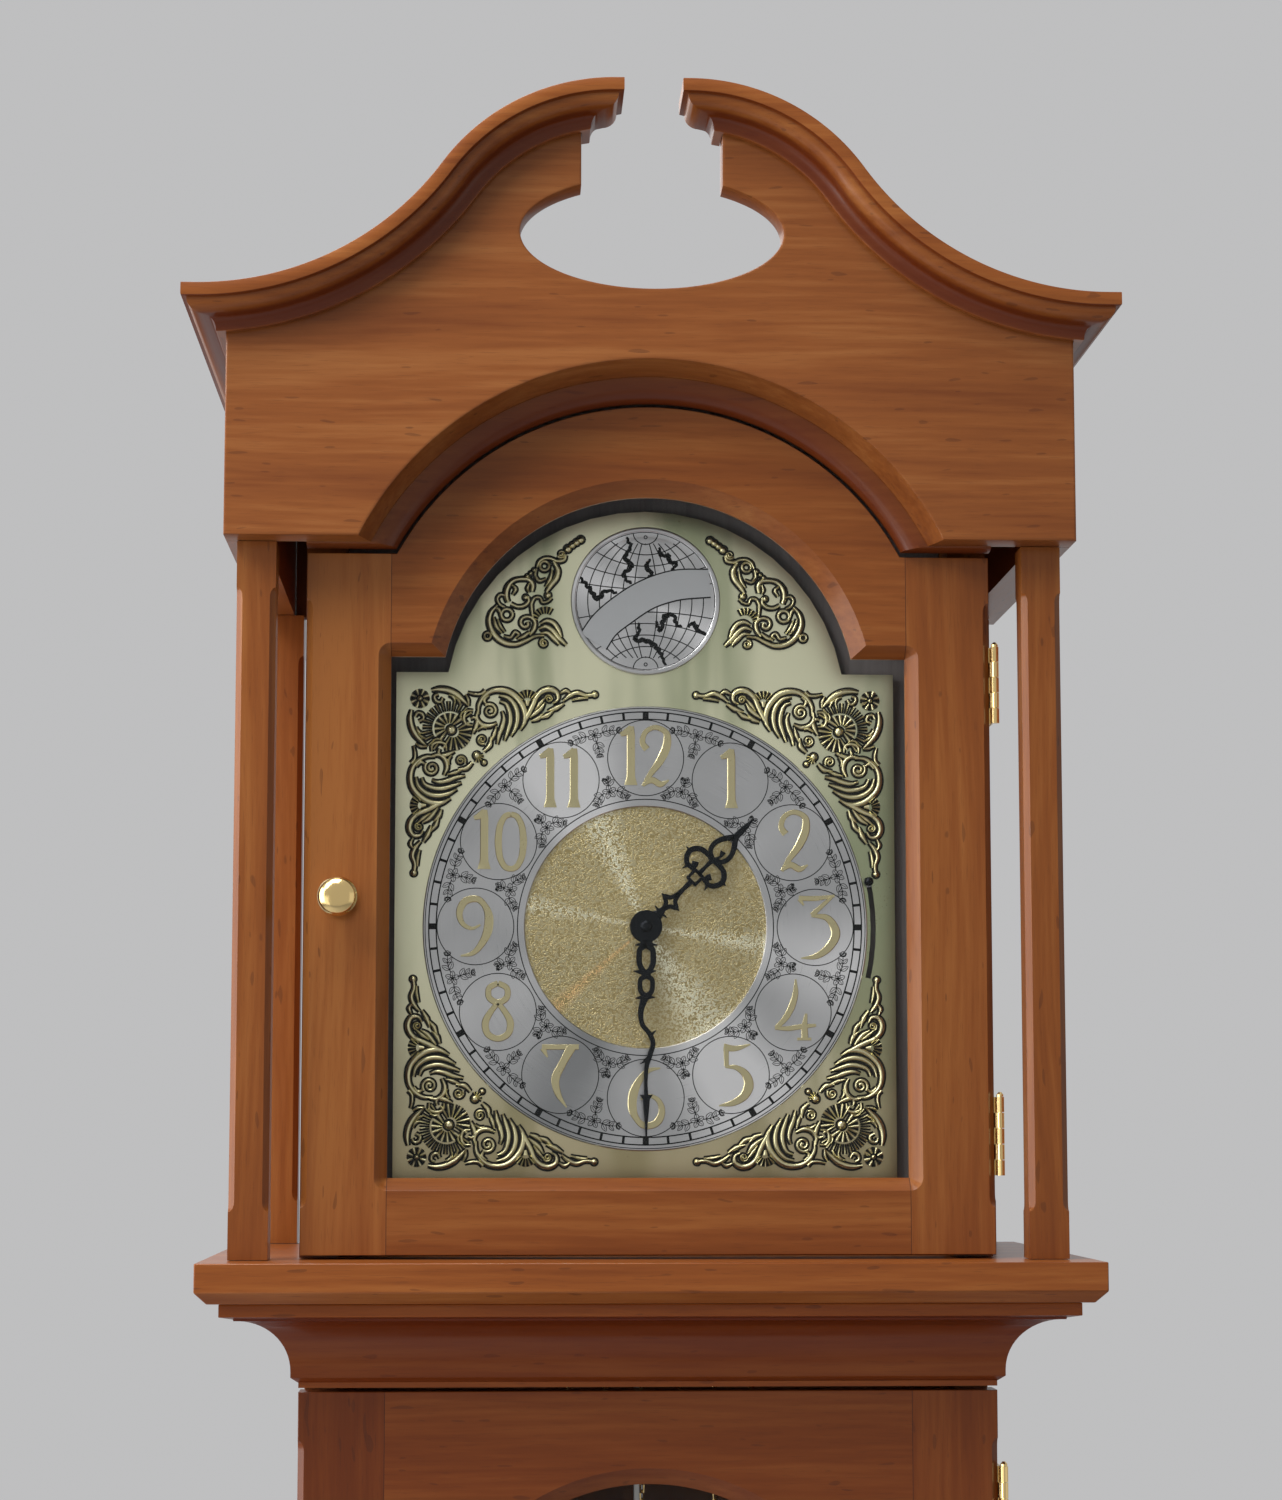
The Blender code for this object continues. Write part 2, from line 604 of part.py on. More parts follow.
def make_trunk():
    """Trunk sides with the rails above and below the door, and the back board."""
    bm = bmesh.new()
    for low, high in ((COVE_BOTTOM, SHELF_BOTTOM - GAP), (BASE_TOP + GAP, BASE_COVE_TOP)):
        add_box(bm, (-TRUNK_HALF, TRUNK_HALF), (TRUNK_RAIL_FRONT, TRUNK_SIDE_FRONT + HOUSING), (low, high))
    case = publish("trunk_case", bm, CHERRY)
    bm = bmesh.new()
    for side in (-1, 1):
        x = sorted((side * TRUNK_INNER, side * TRUNK_HALF))
        add_box(bm, x, (TRUNK_SIDE_FRONT, BACK_BOARD_FRONT - GAP), (BASE_TOP - TRUNK_LAP, SHELF_BOTTOM - GAP))
    combine(case, tool_body("join_trunk_sides", bm), "UNION")

    inner = TRUNK_HALF + BASE_STEP - STOCK - GAP
    head = BOARD_HALF - STOCK - GAP
    right = [(inner, FLOOR), (inner, BASE_TOP - GAP), (TRUNK_HALF, BASE_TOP - GAP), (TRUNK_HALF, BOARD_BOTTOM),
             (head, BOARD_BOTTOM), (head, ROOF_TOP)]
    left = [(-x, z) for x, z in reversed(right)]
    bm = bmesh.new()
    add_prism(bm, right + left, BACK_BOARD_FRONT, CASE_BACK)
    publish("back_board", bm, PINE)


def make_base():
    """Base box: three boards with the skirting round the foot and the cove on top."""
    slope = SKIRTING_THICKNESS - SKIRTING_TOP
    foot = BASE_STEP + SKIRTING_THICKNESS
    profile = [(BASE_STEP - STOCK, 0.0), (foot, 0.0), (foot, SKIRTING_HEIGHT - slope)]
    for i in range(1, 4):
        turn = math.radians(30 * i)
        profile.append((foot - slope * (1 - math.cos(turn)), SKIRTING_HEIGHT - slope + slope * math.sin(turn)))
    profile += [(BASE_STEP, SKIRTING_HEIGHT), (BASE_STEP, BASE_HEIGHT)]
    profile += [(out, BASE_HEIGHT + drop) for out, drop in cove_profile()[1:]]
    profile += [(GAP, BASE_HEIGHT), (BASE_STEP - STOCK, BASE_HEIGHT)]
    bm = bmesh.new()
    add_mitred(bm, profile, TRUNK_HALF, TRUNK_RAIL_FRONT, CASE_BACK, FLOOR, 1)
    publish("base_box", bm, CHERRY, round_piece=True)


def glazing_outline(grow, corner, bottom, arch_centre, arch_grow):
    """The door window: square bottom corners, shoulders, and an arch between them."""
    half = GLASS_HALF + grow
    low = bottom - grow
    shoulder = arch_centre + GLASS_SHOULDER_ABOVE_ARCH + grow
    radius = GLASS_ARCH_RADIUS + arch_grow
    spring = math.asin((shoulder - arch_centre) / radius)
    quarter = math.pi / 2
    points = arc((-half + corner, low + corner), corner, math.pi, 3 * quarter, 3)
    points += arc((half - corner, low + corner), corner, -quarter, 0.0, 3)
    points += arc((half - corner, shoulder - corner), corner, 0.0, quarter, 3)
    points += arc((0.0, arch_centre), radius, spring, math.pi - spring, 20)
    points += arc((-half + corner, shoulder - corner), corner, quarter, math.pi, 3)
    return points


def window_cutters(name, face, bottom, arch_centre):
    """Two cutters: the chamfered window, and the wider rebate behind it."""
    through = face + DOOR_THICKNESS + STOCK
    rings = []
    for depth, share in ((-GLAZING_CHAMFER_DEPTH, 2.0), (GLAZING_CHAMFER_DEPTH, 0.0), (through - face, 0.0)):
        outline = glazing_outline(GLAZING_CHAMFER * share, EDGE * 4 + GLAZING_CORNER * share, bottom,
                                  arch_centre, GLASS_ARCH_CHAMFER * share)
        rings.append([(x, face + depth, z) for x, z in outline])
    bm = bmesh.new()
    add_loft(bm, rings)
    window = tool_body("cut_" + name + "_window", bm)
    bm = bmesh.new()
    outline = glazing_outline(REBATE_WIDTH, EDGE * 4, bottom, arch_centre, REBATE_WIDTH)
    add_prism(bm, outline, face + REBATE_DEPTH, through)
    return window, tool_body("cut_" + name + "_rebate", bm)


def make_door_frame(name, face, bottom, top, window_bottom, arch_centre, rail_top, pivot):
    """The glued frame of one door, of two stiles and two rails, and its glass."""
    back = face + DOOR_THICKNESS
    bm = bmesh.new()
    for side in (-1, 1):
        rings = []
        for z, c in chamfer_run(bottom, top, CHAMFER_STOP, CHAMFER_STOP, DOOR_CHAMFER):
            rings.append([(side * GLASS_HALF, face, z), (side * (DOOR_HALF - c), face, z),
                          (side * DOOR_HALF, face + c, z), (side * DOOR_HALF, back, z),
                          (side * GLASS_HALF, back, z)])
        add_loft(bm, rings)
    frame = publish(name + "_frame", bm, CHERRY, pivot)

    end = GLASS_HALF + HOUSING
    shoulder = arch_centre + GLASS_SHOULDER_ABOVE_ARCH
    bm = bmesh.new()
    add_prism(bm, [(-end, shoulder - STOCK / 2)] + rail_top + [(end, shoulder - STOCK / 2)], face, back)
    add_box(bm, (-end, end), (face, back), (bottom, window_bottom + STOCK / 2))
    combine(frame, tool_body("join_" + name + "_rails", bm), "UNION")
    for cutter in window_cutters(name, face, window_bottom, arch_centre):
        combine(frame, cutter, "DIFFERENCE")

    bm = bmesh.new()
    seat = REBATE_WIDTH - GAP
    front = face + REBATE_DEPTH + GAP
    add_prism(bm, glazing_outline(seat, EDGE * 4, window_bottom, arch_centre, seat), front,
              front + GLASS_THICKNESS)
    publish(name + "_glass", bm, GLASS, pivot)


def make_knob(name, face, height, pivot):
    """A turned knob with a thin neck and a rose on the stile."""
    r = KNOB_RADIUS
    length = KNOB_LENGTH
    profile = [(0.0, -length), (r * 0.45, -length * 0.985), (r * 0.8, -length * 0.92), (r, -length * 0.78),
               (r * 0.97, -length * 0.66), (r * 0.72, -length * 0.54), (r * 0.45, -length * 0.44),
               (r * 0.42, -length * 0.26), (r * 0.6, -length * 0.17), (r * 0.86, -length * 0.1),
               (r * 0.86, -GAP)]
    bm = bmesh.new()
    centre = (-(DOOR_HALF - KNOB_FROM_EDGE), face, height)
    add_turned(bm, profile + [(0.0, -GAP)], "y", centre, 20)
    publish(name, bm, BRASS, pivot, round_piece=True)


def hinge_heights(bottom, shoulder):
    return (("lower", bottom + HINGE_FROM_BOTTOM), ("upper", shoulder - HINGE_FROM_SHOULDER))


def knuckle_outline(pin, near, far):
    """A hinge knuckle in plan: the barrel, with a tail as wide as the leaf, near to far."""
    tail = pin[1] + HINGE_BARREL + 1.6 * MM
    reach = (near - pin[0]) / HINGE_BARREL
    end = math.acos((far - pin[0]) / HINGE_BARREL) + math.tau
    if reach > -1:
        return [(near, tail)] + arc(pin, HINGE_BARREL, math.acos(reach), end, 14) + [(far, tail)]
    lead = [(near, tail), (near, pin[1])]
    return lead + arc(pin, HINGE_BARREL, math.pi + 0.35, end, 14) + [(far, tail)]


def knuckles(pin, near, far, centre, places):
    """Five equal lengths on the pin, of which this leaf has the named places."""
    pitch = HINGE_LENGTH / 5
    bm = bmesh.new()
    for place in places:
        low = centre - HINGE_LENGTH / 2 + place * pitch + GAP / 2
        add_post(bm, knuckle_outline(pin, near, far), low, low + pitch - GAP)
    return bm


def plate(outline, centre):
    bm = bmesh.new()
    add_post(bm, outline, centre - HINGE_LENGTH / 2 + GAP / 2, centre + HINGE_LENGTH / 2 - GAP / 2)
    return bm


def make_hinge(name, face, side, side_front, height):
    """A cranked butt hinge: the case leaf holds the pin, the door leaf turns on it."""
    pin = (PIN_X, face + PIN_BEHIND_FACE)
    edge = DOOR_HALF + GAP
    lane = edge + HINGE_LEAF + GAP
    near = pin[1] + HINGE_BARREL + 0.7 * MM
    inner = side + GAP
    turn = side_front + 1 * MM
    reach = side_front + HINGE_REACH
    half = HINGE_LENGTH / 2

    outline = [(lane, near), (lane + HINGE_LEAF, near), (lane + HINGE_LEAF, turn),
               (inner + HINGE_LEAF, turn + 3 * MM), (inner + HINGE_LEAF, reach), (inner, reach),
               (inner, turn + 2.4 * MM), (lane, turn - 0.6 * MM)]
    leaf = publish(name + "_case_leaf", plate(outline, height), BRASS)
    joints = knuckles(pin, lane, lane + HINGE_LEAF, height, (0, 2, 4))
    combine(leaf, tool_body("join_" + name + "_case_knuckles", joints), "UNION")
    bm = bmesh.new()
    head = HINGE_BARREL * 0.85
    add_turned(bm, [(HINGE_PIN, -half + MM), (HINGE_PIN, half), (head, half), (head, half + MM),
                    (head * 0.4, half + 2.2 * MM)], "z", (*pin, height), 10)
    combine(leaf, tool_body("join_" + name + "_pin", bm), "UNION")

    back = face + DOOR_THICKNESS - 2 * MM
    outline = [(edge, near), (edge + HINGE_LEAF, near), (edge + HINGE_LEAF, back), (edge, back)]
    leaf = publish(name + "_door_leaf", plate(outline, height), BRASS, (*pin, 0.0))
    joints = knuckles(pin, edge, edge + HINGE_LEAF, height, (1, 3))
    combine(leaf, tool_body("join_" + name + "_door_knuckles", joints), "UNION")
    bm = bmesh.new()
    add_turned(bm, [(HINGE_BORE, -half - MM), (HINGE_BORE, half + MM)], "z", (*pin, height), 10)
    combine(leaf, tool_body("cut_" + name + "_bore", bm), "DIFFERENCE")


def make_hinges():
    for place, height in hinge_heights(DOOR_BOTTOM, DOOR_SHOULDER):
        make_hinge("hood_" + place, 0.0, HOOD_SIDE_OUTER, DOOR_BACK + GAP, height)
    for place, height in hinge_heights(TRUNK_DOOR_BOTTOM, TRUNK_DOOR_TOP + TRUNK_HINGE_LIFT):
        make_hinge("trunk_" + place, TRUNK_DOOR_FACE, TRUNK_HALF, TRUNK_SIDE_FRONT, height)


def make_doors():
    hood_pivot = (PIN_X, PIN_BEHIND_FACE, 0.0)
    foot = math.asin((DOOR_SHOULDER - ARCH_CENTRE) / DOOR_ARCH_RADIUS)
    end = GLASS_HALF + HOUSING
    arch_top = arc((0.0, ARCH_CENTRE), DOOR_ARCH_RADIUS, math.pi - foot, foot, 26)
    rail_top = [(-end, DOOR_SHOULDER)] + arch_top + [(end, DOOR_SHOULDER)]
    make_door_frame("hood_door", 0.0, DOOR_BOTTOM, DOOR_SHOULDER, BOTTOM_RAIL_TOP, GLASS_ARCH_CENTRE,
                    rail_top, hood_pivot)
    make_knob("hood_door_knob", 0.0, KNOB_HEIGHT, hood_pivot)

    trunk_pivot = (PIN_X, TRUNK_DOOR_FACE + PIN_BEHIND_FACE, 0.0)
    arch_centre = TRUNK_DOOR_TOP - TRUNK_TOP_RAIL - GLASS_ARCH_RADIUS - GLASS_ARCH_CHAMFER
    flat_top = [(-end, TRUNK_DOOR_TOP), (end, TRUNK_DOOR_TOP)]
    make_door_frame("trunk_door", TRUNK_DOOR_FACE, TRUNK_DOOR_BOTTOM, TRUNK_DOOR_TOP,
                    TRUNK_DOOR_BOTTOM + TRUNK_BOTTOM_RAIL, arch_centre, flat_top, trunk_pivot)
    make_knob("trunk_door_knob", TRUNK_DOOR_FACE, (TRUNK_DOOR_BOTTOM + TRUNK_DOOR_TOP) / 2, trunk_pivot)


def dial_outline(inset):
    half = DIAL_HALF - inset
    rise = DIAL_ARCH_TOP - DIAL_SHOULDER
    radius = (DIAL_ARCH_HALF ** 2 + rise ** 2) / (2 * rise)
    centre = DIAL_ARCH_TOP - radius
    foot = math.asin((DIAL_SHOULDER - inset - centre) / (radius - inset))
    points = [(-half, DIAL_BOTTOM + inset), (half, DIAL_BOTTOM + inset), (half, DIAL_SHOULDER - inset)]
    points += arc((0.0, centre), radius - inset, foot, math.pi - foot, 20)
    points.append((-half, DIAL_SHOULDER - inset))
    return points


def slot_outline(half_width, spare):
    """A curved slot beside the chapter ring, at the three o'clock side."""
    turn = SLOT_HALF_ANGLE + spare / SLOT_RADIUS
    centre = (0.0, DIAL_CENTRE)
    return (arc(centre, SLOT_RADIUS + half_width, -turn, turn, 6)
            + arc(centre, SLOT_RADIUS - half_width, turn, -turn, 6))


def make_dial():
    bm = bmesh.new()
    add_prism(bm, dial_outline(0.0), DIAL_FRONT, DIAL_FRONT + DIAL_PLATE)
    plate = publish("dial_plate", bm, PALE_BRASS)
    bm = bmesh.new()
    for side in (-1, 1):
        for height in (DIAL_BOTTOM + STOCK, DIAL_SHOULDER - STOCK):
            add_turned(bm, [(2.5 * MM, DIAL_PLATE / 2), (2.5 * MM, DIAL_PLATE + DIAL_FOOT - GAP)], "y",
                       (side * (DIAL_HALF - STOCK / 2), DIAL_FRONT, height), 8)
    combine(plate, tool_body("join_dial_feet", bm), "UNION")
    bm = bmesh.new()
    add_turned(bm, [(CENTRE_HOLE, -STOCK), (CENTRE_HOLE, STOCK)], "y", (0.0, DIAL_FRONT, DIAL_CENTRE), 16)
    combine(plate, tool_body("cut_dial_hole", bm), "DIFFERENCE")
    bm = bmesh.new()
    add_prism(bm, slot_outline(SLOT_WIDTH / 2, LEVER_BALL), DIAL_FRONT - MM, DIAL_FRONT + DIAL_PLATE + MM)
    combine(plate, tool_body("cut_dial_slot", bm), "DIFFERENCE")

    bm = bmesh.new()
    centre = (0.0, 0.0, DIAL_CENTRE)
    add_bored(bm, RING_OUTER, RING_INNER, "y", centre, RING_FRONT, DIAL_FRONT - GAP, 60)
    publish("chapter_ring", bm, SILVER, round_piece=True)

    bm = bmesh.new()
    rise = GLOBE_RISE
    profile = [(0.0, -GAP - rise)]
    for i in range(1, 6):
        turn = math.radians(15 * i)
        profile.append((GLOBE_RADIUS * 0.93 * math.sin(turn), -GAP - MM - (rise - MM) * math.cos(turn)))
    profile += [(GLOBE_RADIUS, -GAP - MM * 1.4), (GLOBE_RADIUS, -GAP), (0.0, -GAP)]
    add_turned(bm, profile, "y", (0.0, DIAL_FRONT, GLOBE_CENTRE), 32)
    publish("globe_medallion", bm, SILVER, round_piece=True)


def corner_spandrel():
    """Top right corner piece, about the dial's centre: scalloped legs, hollow side to the ring."""
    edge_x = DIAL_HALF - SPANDREL_MARGIN - SCALLOP
    edge_z = DIAL_SHOULDER - SPANDREL_MARGIN - SCALLOP - DIAL_CENTRE
    hollow = RING_OUTER + SPANDREL_CLEARANCE
    steps = SCALLOPS * 4
    bumps = [SCALLOP * abs(math.sin(math.pi * i / 4)) for i in range(steps + 1)]
    leg = SPANDREL_LEG
    points = [(edge_x - leg + leg * i / steps, edge_z + bumps[i]) for i in range(steps + 1)]
    points += [(edge_x + bumps[i], edge_z - leg * i / steps) for i in range(1, steps + 1)]
    points = [point for point in points if math.hypot(*point) > hollow + SCALLOP]
    start = math.atan2(points[-1][1], points[-1][0])
    end = math.atan2(points[0][1], points[0][0])
    for i in range(1, 20):
        turn = start + (end - start) * i / 20
        reach = hollow + SCALLOP * abs(math.sin(math.pi * i / 4))
        points.append((reach * math.cos(turn), reach * math.sin(turn)))
    return points


def arch_spandrel():
    """Piece between the globe, the arch and the shoulder line, on the right side."""
    rise = DIAL_ARCH_TOP - DIAL_SHOULDER
    radius = (DIAL_ARCH_HALF ** 2 + rise ** 2) / (2 * rise)
    centre = DIAL_ARCH_TOP - radius
    reach = radius - SPANDREL_MARGIN - MM
    low = DIAL_SHOULDER + 12.5 * MM
    hole = GLOBE_RADIUS + SPANDREL_CLEARANCE
    start = math.asin((low - centre) / reach)
    top = math.radians(64)
    points = arc((0.0, centre), reach, start, top, 10)
    angle_top = math.atan2(points[-1][1] - GLOBE_CENTRE, points[-1][0])
    angle_low = -math.asin((GLOBE_CENTRE - low) / hole)
    steps = 8
    for i in range(steps + 1):
        turn = angle_top * 0.8 + (angle_low - angle_top * 0.8) * i / steps
        bump = 1.8 * MM * abs(math.sin(math.pi * 4 * i / steps))
        points.append(((hole + bump) * math.cos(turn), GLOBE_CENTRE + (hole + bump) * math.sin(turn)))
    return points


def make_spandrels():
    """Four corner pieces and two arch pieces."""
    front = DIAL_FRONT - GAP - SPANDREL_THICKNESS
    back = DIAL_FRONT - GAP
    corner = corner_spandrel()
    for name, side in (("left", -1), ("right", 1)):
        for place, up in (("lower", -1), ("upper", 1)):
            bm = bmesh.new()
            add_prism(bm, [(side * x, DIAL_CENTRE + up * z) for x, z in corner], front, back)
            publish(place + "_" + name + "_spandrel", bm, ANTIQUE)
        bm = bmesh.new()
        add_prism(bm, [(side * x, z) for x, z in arch_spandrel()], front, back)
        publish("arch_" + name + "_spandrel", bm, ANTIQUE)


def make_dial_board():
    """The painted board that carries the dial and closes the hood round it."""
    bm = bmesh.new()
    half = HOOD_SIDE_INNER - GAP
    back = DIAL_BOARD_FRONT + DIAL_BOARD_THICKNESS
    add_box(bm, (-half, half), (DIAL_BOARD_FRONT, back), (GAP, DIAL_BOARD_TOP))
    board = publish("dial_board", bm, DARK_WOOD)
    bm = bmesh.new()
    add_turned(bm, [(HUB_RADIUS * 2, -STOCK), (HUB_RADIUS * 2, STOCK)], "y",
               (0.0, DIAL_BOARD_FRONT, DIAL_CENTRE), 16)
    combine(board, tool_body("cut_board_hole", bm), "DIFFERENCE")


def hand_outline(length, swing, waves):
    """A serpentine hand: a tapering blade whose middle line winds about the straight."""
    steps = 18
    start = HUB_RADIUS * 0.8
    left = []
    right = []
    for i in range(steps + 1):
        share = i / steps
        along = start + (length - start) * share
        middle = swing * math.sin(math.tau * waves * share) * (1 - share) ** 0.6
        half = (2.6 * (1 - share) ** 0.8 + 0.45) * MM
        left.append((middle - half, along))
        right.append((middle + half, along))
    return right + left[::-1]


def turned_outline(outline, angle):
    """Turn an outline clockwise about the dial's centre, as seen from the front."""
    c = math.cos(angle)
    s = math.sin(angle)
    return [(x * c + z * s, z * c - x * s + DIAL_CENTRE) for x, z in outline]


def make_hands():
    """Both hands at the photographed time, each on its own tube or arbor."""
    hours, minutes = REST_TIME
    minute_angle = math.tau * minutes / 60
    hour_angle = math.tau * (hours + minutes / 60) / 12
    pivot = (0.0, MINUTE_FRONT, DIAL_CENTRE)
    centre = (0.0, 0.0, DIAL_CENTRE)
    bm = bmesh.new()
    minute_back = MINUTE_FRONT + HAND_THICKNESS
    add_turned(bm, [(NUT_RADIUS, MINUTE_FRONT - NUT_HEIGHT), (NUT_RADIUS, MINUTE_FRONT),
                    (HUB_RADIUS, MINUTE_FRONT), (HUB_RADIUS, minute_back),
                    (MINUTE_ARBOR, minute_back), (MINUTE_ARBOR, PLATE_FRONT - GAP)], "y", centre, 20)
    minute = publish("minute_hand", bm, BLACK, pivot)
    bm = bmesh.new()
    blade = turned_outline(hand_outline(MINUTE_HAND, 4.2 * MM, 1.5), minute_angle)
    inset = HAND_THICKNESS * 0.1
    add_prism(bm, blade, MINUTE_FRONT + inset, MINUTE_FRONT + HAND_THICKNESS - inset)
    combine(minute, tool_body("join_minute_blade", bm), "UNION")

    bm = bmesh.new()
    rings = []
    for radius, y in ((HUB_RADIUS, HOUR_FRONT), (HUB_RADIUS, HOUR_FRONT + HAND_THICKNESS),
                      (HOUR_PIPE, HOUR_FRONT + HAND_THICKNESS), (HOUR_PIPE, PLATE_FRONT - MM),
                      (HOUR_BORE, PLATE_FRONT - MM), (HOUR_BORE, HOUR_FRONT)):
        rings.append([on_axis("y", centre, radius, math.tau * i / 20, y) for i in range(20)])
    add_tube(bm, rings)
    hour = publish("hour_hand", bm, BLACK, pivot)
    bm = bmesh.new()
    blade = turned_outline(hand_outline(HOUR_HAND, 5.5 * MM, 1.0), hour_angle)
    add_prism(bm, blade, HOUR_FRONT + inset, HOUR_FRONT + HAND_THICKNESS - inset)
    combine(hour, tool_body("join_hour_blade", bm), "UNION")


def make_chime_lever():
    """A lever behind the dial, with a stud through the slot and a ball in front."""
    y0 = DIAL_FRONT + DIAL_PLATE + GAP
    y1 = y0 + LEVER_THICKNESS
    turn = SLOT_HALF_ANGLE
    ux, uz = math.cos(turn), math.sin(turn)
    half = LEVER_WIDTH / 2
    far = SLOT_RADIUS + half
    near = HOUR_PIPE + 2.5 * MM
    bm = bmesh.new()
    add_bored(bm, near + 3 * MM, HOUR_PIPE + GAP, "y", (0.0, 0.0, DIAL_CENTRE), y0, y1, 16)
    lever = publish("chime_lever", bm, STEEL, (0.0, y0, DIAL_CENTRE))
    bm = bmesh.new()
    inset = LEVER_THICKNESS * 0.1
    corners = [(near, -half), (far, -half), (far, half), (near, half)]
    arm = [(a * ux - b * uz, DIAL_CENTRE + a * uz + b * ux) for a, b in corners]
    add_prism(bm, arm, y0 + inset, y1 - inset)
    combine(lever, tool_body("join_lever_arm", bm), "UNION")
    bm = bmesh.new()
    stud = (SLOT_RADIUS * ux, 0.0, DIAL_CENTRE + SLOT_RADIUS * uz)
    ball = DIAL_FRONT - LEVER_BALL - 0.8 * MM
    profile = [(0.0, ball - LEVER_BALL)]
    for i in range(1, 5):
        a = math.radians(35 * i)
        profile.append((LEVER_BALL * math.sin(a), ball - LEVER_BALL * math.cos(a)))
    profile += [(0.9 * MM, ball + LEVER_BALL), (0.9 * MM, y0 + LEVER_THICKNESS / 2)]
    add_turned(bm, profile, "y", stud, 10)
    combine(lever, tool_body("join_lever_stud", bm), "UNION")


def make_movement():
    """The movement's frame of two plates and four pillars, and the board it stands on."""
    low = SEAT_TOP + GAP
    high = low + PLATE_HEIGHT
    back_plate = PLATE_BACK - PLATE_THICKNESS
    bm = bmesh.new()
    add_box(bm, (-PLATE_HALF, PLATE_HALF), (PLATE_FRONT, PLATE_FRONT + PLATE_THICKNESS), (low, high))
    frame = publish("movement_frame", bm, BRASS)
    inset = PILLAR_RADIUS * 1.5
    bm = bmesh.new()
    for side in (-1, 1):
        for height in (low + inset, high - inset):
            add_turned(bm, [(PILLAR_RADIUS, PLATE_FRONT + PLATE_THICKNESS / 2),
                            (PILLAR_RADIUS, back_plate + PLATE_THICKNESS / 2)], "y",
                       (side * (PLATE_HALF - inset), 0.0, height), 12)
    combine(frame, tool_body("join_pillars", bm), "UNION")
    bm = bmesh.new()
    add_box(bm, (-PLATE_HALF, PLATE_HALF), (back_plate, PLATE_BACK), (low, high))
    combine(frame, tool_body("join_back_plate", bm), "UNION")
    post = 7 * MM
    bm = bmesh.new()
    add_box(bm, (-post, post), (back_plate + PLATE_THICKNESS / 2, PENDULUM_DEPTH + post),
            (PENDULUM_PIVOT, PENDULUM_PIVOT + post))
    combine(frame, tool_body("join_suspension_post", bm), "UNION")

    half = HOOD_SIDE_INNER - GAP
    bottom = SEAT_TOP - SEAT_THICKNESS
    bm = bmesh.new()
    add_prism(bm, [(-half, bottom - CLEAT), (-half + CLEAT, bottom - CLEAT), (-half + CLEAT, bottom),
                   (half - CLEAT, bottom), (half - CLEAT, bottom - CLEAT), (half, bottom - CLEAT),
                   (half, SEAT_TOP), (-half, SEAT_TOP)], SEAT_FRONT, SEAT_BACK)
    seat = publish("seat_board", bm, PINE)
    reach = CHAIN_RADIUS + 5 * MM
    bm = bmesh.new()
    for _, weight_x in TRAINS:
        wheel_x = weight_x + CHAIN_RADIUS
        add_box(bm, (wheel_x - reach, wheel_x + reach), (WHEEL_DEPTH - 6 * MM, WHEEL_DEPTH + 6 * MM),
                (bottom - SEAT_THICKNESS, SEAT_TOP + SEAT_THICKNESS))
    combine(seat, tool_body("cut_seat_slots", bm), "DIFFERENCE")


def add_ring(bm, centre, radius, wire, steps, sides):
    """A wire ring that hangs edge on to the front, so it passes between the weights."""
    rings = []
    for i in range(steps):
        turn = math.tau * i / steps
        ring = []
        for k in range(sides):
            a = math.tau * k / sides
            r = radius + wire * math.cos(a)
            ring.append((centre[0] + wire * math.sin(a), centre[1] + r * math.sin(turn),
                         centre[2] + r * math.cos(turn)))
        rings.append(ring)
    add_tube(bm, rings)


def make_train(name, weight_x):
    """One train: the chain wheel, the chain's two strands, its weight and its end ring."""
    wire = CHAIN_THICKNESS / 2
    wheel_x = weight_x + CHAIN_RADIUS
    free_x = wheel_x + CHAIN_RADIUS
    centre = (wheel_x, WHEEL_DEPTH, WHEEL_HEIGHT)
    half = PLATE_SPACE / 2 - GAP
    core = CHAIN_RADIUS - wire - GAP
    flange = CHAIN_RADIUS + WHEEL_FLANGE
    bm = bmesh.new()
    add_turned(bm, [(WHEEL_ARBOR, -half), (WHEEL_ARBOR, -4 * MM), (flange, -4 * MM), (flange, -3 * MM),
                    (core, -2.4 * MM), (core, 2.4 * MM), (flange, 3 * MM), (flange, 4 * MM),
                    (WHEEL_ARBOR, 4 * MM), (WHEEL_ARBOR, half)], "y", centre, 20)
    publish(name + "_chain_wheel", bm, BRASS, centre, round_piece=True)

    for label, x, end in (("_weight_chain", weight_x, WEIGHT_TOP), ("_free_chain", free_x, RING_TOP)):
        bm = bmesh.new()
        add_turned(bm, [(wire, end + GAP), (wire, WHEEL_HEIGHT)], "z", (x, WHEEL_DEPTH, 0.0), 8)
        publish(name + label, bm, BRASS, (x, WHEEL_DEPTH, WHEEL_HEIGHT), round_piece=True)

    r = WEIGHT_RADIUS
    top = -WEIGHT_HOOK
    low = top - WEIGHT_LENGTH
    bm = bmesh.new()
    add_turned(bm, [(1.6 * MM, 0.0), (1.6 * MM, top + 5 * MM), (r * 0.35, top + 3.5 * MM), (r * 0.4, top),
                    (r * 0.85, top - MM), (r, top - 4 * MM), (r, low + 4 * MM), (r * 0.85, low + MM),
                    (r * 0.4, low), (r * 0.3, low - 4 * MM), (0.0, low - 6 * MM)], "z",
               (weight_x, WHEEL_DEPTH, WEIGHT_TOP), 24)
    publish(name + "_weight", bm, BRASS, (weight_x, WHEEL_DEPTH, WEIGHT_TOP), round_piece=True)

    bm = bmesh.new()
    drop = END_RING_RADIUS + END_RING_WIRE
    add_ring(bm, (free_x, WHEEL_DEPTH, RING_TOP - drop), END_RING_RADIUS, END_RING_WIRE, 14, 6)
    publish(name + "_end_ring", bm, BRASS, (free_x, WHEEL_DEPTH, RING_TOP), round_piece=True)


